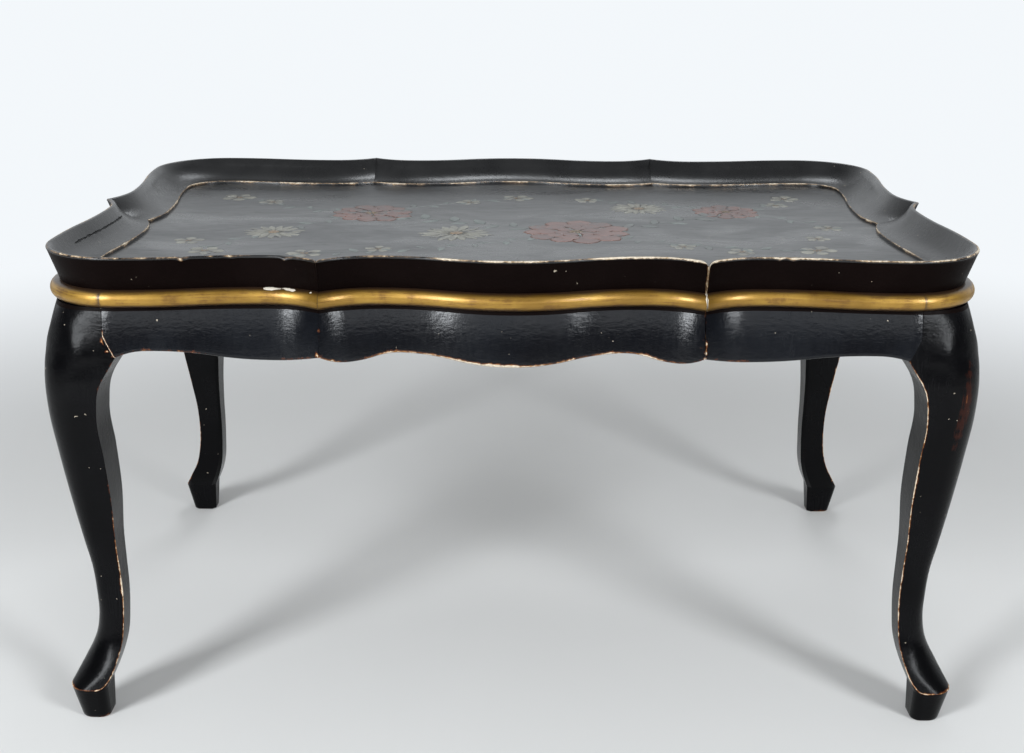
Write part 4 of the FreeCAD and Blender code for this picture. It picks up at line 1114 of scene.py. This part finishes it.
def leafMesh(stem, number):
    line = stemPoints(stem, 12)
    curve = bpy.data.curves.new("stemLine", "CURVE")
    spline = curve.splines.new("POLY")
    spline.points.add(len(line) - 1)
    for point, p in zip(spline.points, line):
        point.co = (p.x * mm, p.y * mm, 0, 1)
    length = sum((b - a).length for a, b in zip(line, line[1:]))
    big, small = painting["leafSize"]
    values = {"Shape": leafShape, "Leaves": max(4, int(length / painting["leafGap"])),
              "Size": (big if number < 2 else small) * mm, "Spread": 0.85, "Ragged": 0.35,
              "Seed": 40 + number, "Paint": leafPaint}
    return placed(growMesh(leavesOnStem, curve, values), 0, 0, painting["leafLift"])


# many meshes made one piece
def joinMeshes(name, meshes):
    holders = [addObject(name, mesh) for mesh in meshes]
    bpy.ops.object.select_all(action="DESELECT")
    for holder in holders:
        holder.select_set(True)
    piece = holders[0]
    bpy.context.view_layer.objects.active = piece
    bpy.ops.object.join()
    piece.name = name
    work = bmesh.new()
    work.from_mesh(piece.data)
    bmesh.ops.recalc_face_normals(work, faces=work.faces)
    work.to_mesh(piece.data)
    work.free()
    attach(piece, "root")


heads = {}
for kind in ("rosette", "daisy", "blossom"):
    heads[kind] = []
    for i, (x, y, radius) in enumerate(painting[kind]):
        heads[kind] += headMeshes(kind, x, y, radius, 3 * i + len(kind))
stems = [stemMesh(stem) for stem in painting["stems"]]
leaves = [leafMesh(stem, i) for i, stem in enumerate(painting["stems"])]
joinMeshes("paintedLeaves", stems + leaves)
joinMeshes("paintedRosettes", heads["rosette"])
joinMeshes("paintedDaisies", heads["daisy"])
joinMeshes("paintedBlossoms", heads["blossom"])
for shape in (broadPetal, slimPetal, leafShape):
    bpy.data.objects.remove(shape)
print("flowers painted")


# countersunk screws under the corner blocks and bearers, set out by Geometry Nodes
screw = dict(head=8, slotWidth=0.075, proud=0.04, seed=5, corner=[(345, -236), (394, -187)], bearerX=110,
             bearerY=(-200, -100, 0, 100, 200))


def screwSteel():
    finish, tree, shader = newFinish("screwSteel")
    place = objectPlace(tree)
    dull = cloud(place, 420, 4)
    rust = cloud(place, 160, 4, 0.6)
    colour = tint(ease(dull, 0.35, 0.65), (0.13, 0.12, 0.11), (0.26, 0.25, 0.23))
    colour = tint(ease(rust, 0.5, 0.62, 0, 0.8), colour, (0.10, 0.045, 0.018))
    # the base disc, the floor of the slot, is coloured near black: painted shade in the slot, with dirt
    colour = tint(marked(tree, "margin"), colour, (0.018, 0.012, 0.008))
    fill(shader, {"Base Color": colour, "Metallic": 0.75, "Roughness": ease(dull, 0.3, 0.7, 0.36, 0.6),
                  "Normal": relief(dull, 0.0001, 0.5)})
    return finish


# a slotted head of unit width that looks down: a dark base disc, painted shade and dirt in the slot, and two
# half caps
def screwShape():
    points, faces, dark = [], [], []

    def prism(outline, low, high, inward, margin):
        first, count = len(points), len(outline)
        middle = sum(x for x, _ in outline) / count
        points.extend((x, y, high) for x, y in outline)
        points.extend((middle + (x - middle) * inward, y * inward, low) for x, y in outline)
        dark.extend([margin] * (2 * count))
        faces.append([first + i for i in range(count)])
        faces.append([first + 2 * count - 1 - i for i in range(count)])
        for i in range(count):
            j = (i + 1) % count
            faces.append([first + i, first + count + i, first + count + j, first + j])

    def rimPoint(turn):
        return 0.5 * math.cos(turn), 0.5 * math.sin(turn)

    prism([rimPoint(math.pi * i / 8) for i in range(16)], -0.006, 0.05, 1.0, 1.0)
    limit = math.acos(screw["slotWidth"] / 0.5)
    half = [rimPoint(-limit + limit * i / 5) for i in range(11)]
    prism(half, -screw["proud"], -0.004, 0.9, 0.0)
    prism([(-x, y) for x, y in half[::-1]], -screw["proud"], -0.004, 0.9, 0.0)
    mesh = bpy.data.meshes.new("screwShape")
    mesh.from_pydata(points, [], faces)
    setMark(mesh, "margin", dark)
    return addObject("screwShape", mesh)


def screwTree():
    tree, start, end = newTree("screwHeads", ["Shape", "Size", "Seed", "Paint"])
    setOut(start, end, start.outputs["Geometry"], randomly(start, 0.0, math.pi, 5))
    return tree


def screwPlaces():
    places = []
    for end, side, flip in quarters:
        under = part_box(f"corner_block_{end}_{side}".lower())[0].z
        places += [(x * flip[0] * mm, y * flip[1] * mm, under) for x, y in screw["corner"]]
    for side, flipX in (("right", 1), ("left", -1)):
        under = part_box(f"bearer_{side}")[0].z
        places += [(screw["bearerX"] * flipX * mm, y * mm, under) for y in screw["bearerY"]]
    return places


screwBase = bpy.data.meshes.new("screwBase")
screwBase.from_pydata(screwPlaces(), [], [])
screwHead = screwShape()
screwValues = {"Shape": screwHead, "Size": screw["head"] * mm, "Seed": screw["seed"], "Paint": screwSteel()}
joinMeshes("screwHeads", [growMesh(screwTree(), screwBase, screwValues)])
bpy.data.objects.remove(screwHead)
print("screws set")


# floor, light and camera
stand = dict(size=14.0, colour=(0.66, 0.655, 0.64), background=(0.90, 0.935, 0.965), ambient=0.38, front=0.04,
             ceiling=0.40, fade=(0.75, 2.1), daylight=(0.94, 0.97, 1.0), lampColour=(0.93, 0.965, 1.0),
             aim=(0, 0, 0.36))
softBoxes = [
    dict(name="softBoxLeft", place=(-1.75, -2.1, 1.5), wide=0.7, high=1.4, power=84),
    dict(name="softBoxRight", place=(1.75, -2.0, 1.5), wide=0.65, high=1.3, power=56),
    dict(name="softBoxFront", place=(0, -2.7, 1.02), wide=3.0, high=0.5, power=10),
    dict(name="softBoxBack", place=(0.3, 2.2, 3.1), wide=1.0, high=1.0, power=22),
]
view = dict(place=(0, -1.557, 0.781), tilt=72.17, roll=0.25, lens=49.219)


def mixShaders(share, a, b, out):
    either = addNode(share.id_data, "ShaderNodeMixShader", {0: share, 1: a, 2: b})
    feed(out.inputs["Surface"], either.outputs[0])


# pale floor that runs out into the pale background, with the shadow kept near the table
def makeFloor():
    mesh = bpy.data.meshes.new("paleFloor")
    s = stand["size"]
    mesh.from_pydata([(-s, -s, 0), (s, -s, 0), (s, s, 0), (-s, s, 0)], [], [(0, 1, 2, 3)])
    finish, tree, shader = newFinish("paleFloor")
    soft = cloud(objectPlace(tree), 1.3, 4)
    pale = stand["colour"]
    colour = tint(ease(soft, 0.3, 0.7), pale, scaled(pale, 0.96))
    fill(shader, {"Base Color": colour, "Roughness": 0.8, "Specular IOR Level": 0.15})
    length = addNode(tree, "ShaderNodeVectorMath", {0: objectPlace(tree)}, operation="LENGTH")
    rays = tree.nodes.new("ShaderNodeLightPath").outputs
    seen = most(rays["Is Camera Ray"], rays["Is Transmission Ray"])
    away = times(ease(length.outputs["Value"], *stand["fade"]), seen)
    glow = addNode(tree, "ShaderNodeEmission", {"Color": (*stand["background"], 1)})
    out = next(node for node in tree.nodes if node.type == "OUTPUT_MATERIAL")
    mixShaders(away, shader.outputs["BSDF"], glow.outputs[0], out)
    mesh.materials.append(finish)
    addObject("paleFloor", mesh)


# pale all round to the eye, and in reflections a pale wall behind, a dim room in front
def makeWorld():
    world = bpy.data.worlds.new("paleRoom")
    bpy.context.scene.world = world
    world.use_nodes = True
    tree = world.node_tree
    tree.nodes.clear()
    out = tree.nodes.new("ShaderNodeOutputWorld")
    rays = tree.nodes.new("ShaderNodeLightPath").outputs
    way = tree.nodes.new("ShaderNodeTexCoord").outputs["Generated"]
    parts = addNode(tree, "ShaderNodeSeparateXYZ", {0: way}).outputs
    pale = stand["background"]
    mirrored = tint(ease(parts["Y"], 0.0, 0.55), scaled(pale, stand["front"]), pale)
    mirrored = tint(ease(parts["Z"], 0.35, 0.9), mirrored, scaled(pale, stand["ceiling"]))
    colour = tint(rays["Is Camera Ray"], mirrored, pale)
    seen = addNode(tree, "ShaderNodeBackground", {"Color": colour, "Strength": 1.0})
    daylight = {"Color": (*stand["daylight"], 1), "Strength": stand["ambient"]}
    given = addNode(tree, "ShaderNodeBackground", daylight)
    share = most(most(rays["Is Camera Ray"], rays["Is Glossy Ray"]), rays["Is Transmission Ray"])
    mixShaders(share, given.outputs[0], seen.outputs[0], out)


def makeLights():
    for lamp in softBoxes:
        light = bpy.data.lights.new(lamp["name"], "AREA")
        light.shape = "RECTANGLE"
        light.size = lamp["wide"]
        light.size_y = lamp["high"]
        light.energy = lamp["power"]
        light.color = stand["lampColour"]
        box = addObject(lamp["name"], light)
        box.location = lamp["place"]
        way = Vector(stand["aim"]) - Vector(lamp["place"])
        box.rotation_euler = way.to_track_quat("-Z", "Y").to_euler()
        box.visible_camera = False


def makeCamera():
    lens = bpy.data.cameras.new("photoView")
    lens.sensor_fit = "HORIZONTAL"
    lens.sensor_width = 36
    lens.lens = view["lens"]
    camera = addObject("photoView", lens)
    tilt = Matrix.Rotation(math.radians(view["tilt"]), 4, "X")
    roll = Matrix.Rotation(math.radians(view["roll"]), 4, "Z")
    camera.matrix_world = Matrix.Translation(view["place"]) @ tilt @ roll
    bpy.context.scene.camera = camera


makeFloor()
makeWorld()
makeLights()
makeCamera()
bpy.context.scene.view_settings.view_transform = "Standard"
print("floor, light and camera set")

bpy.context.view_layer.update()
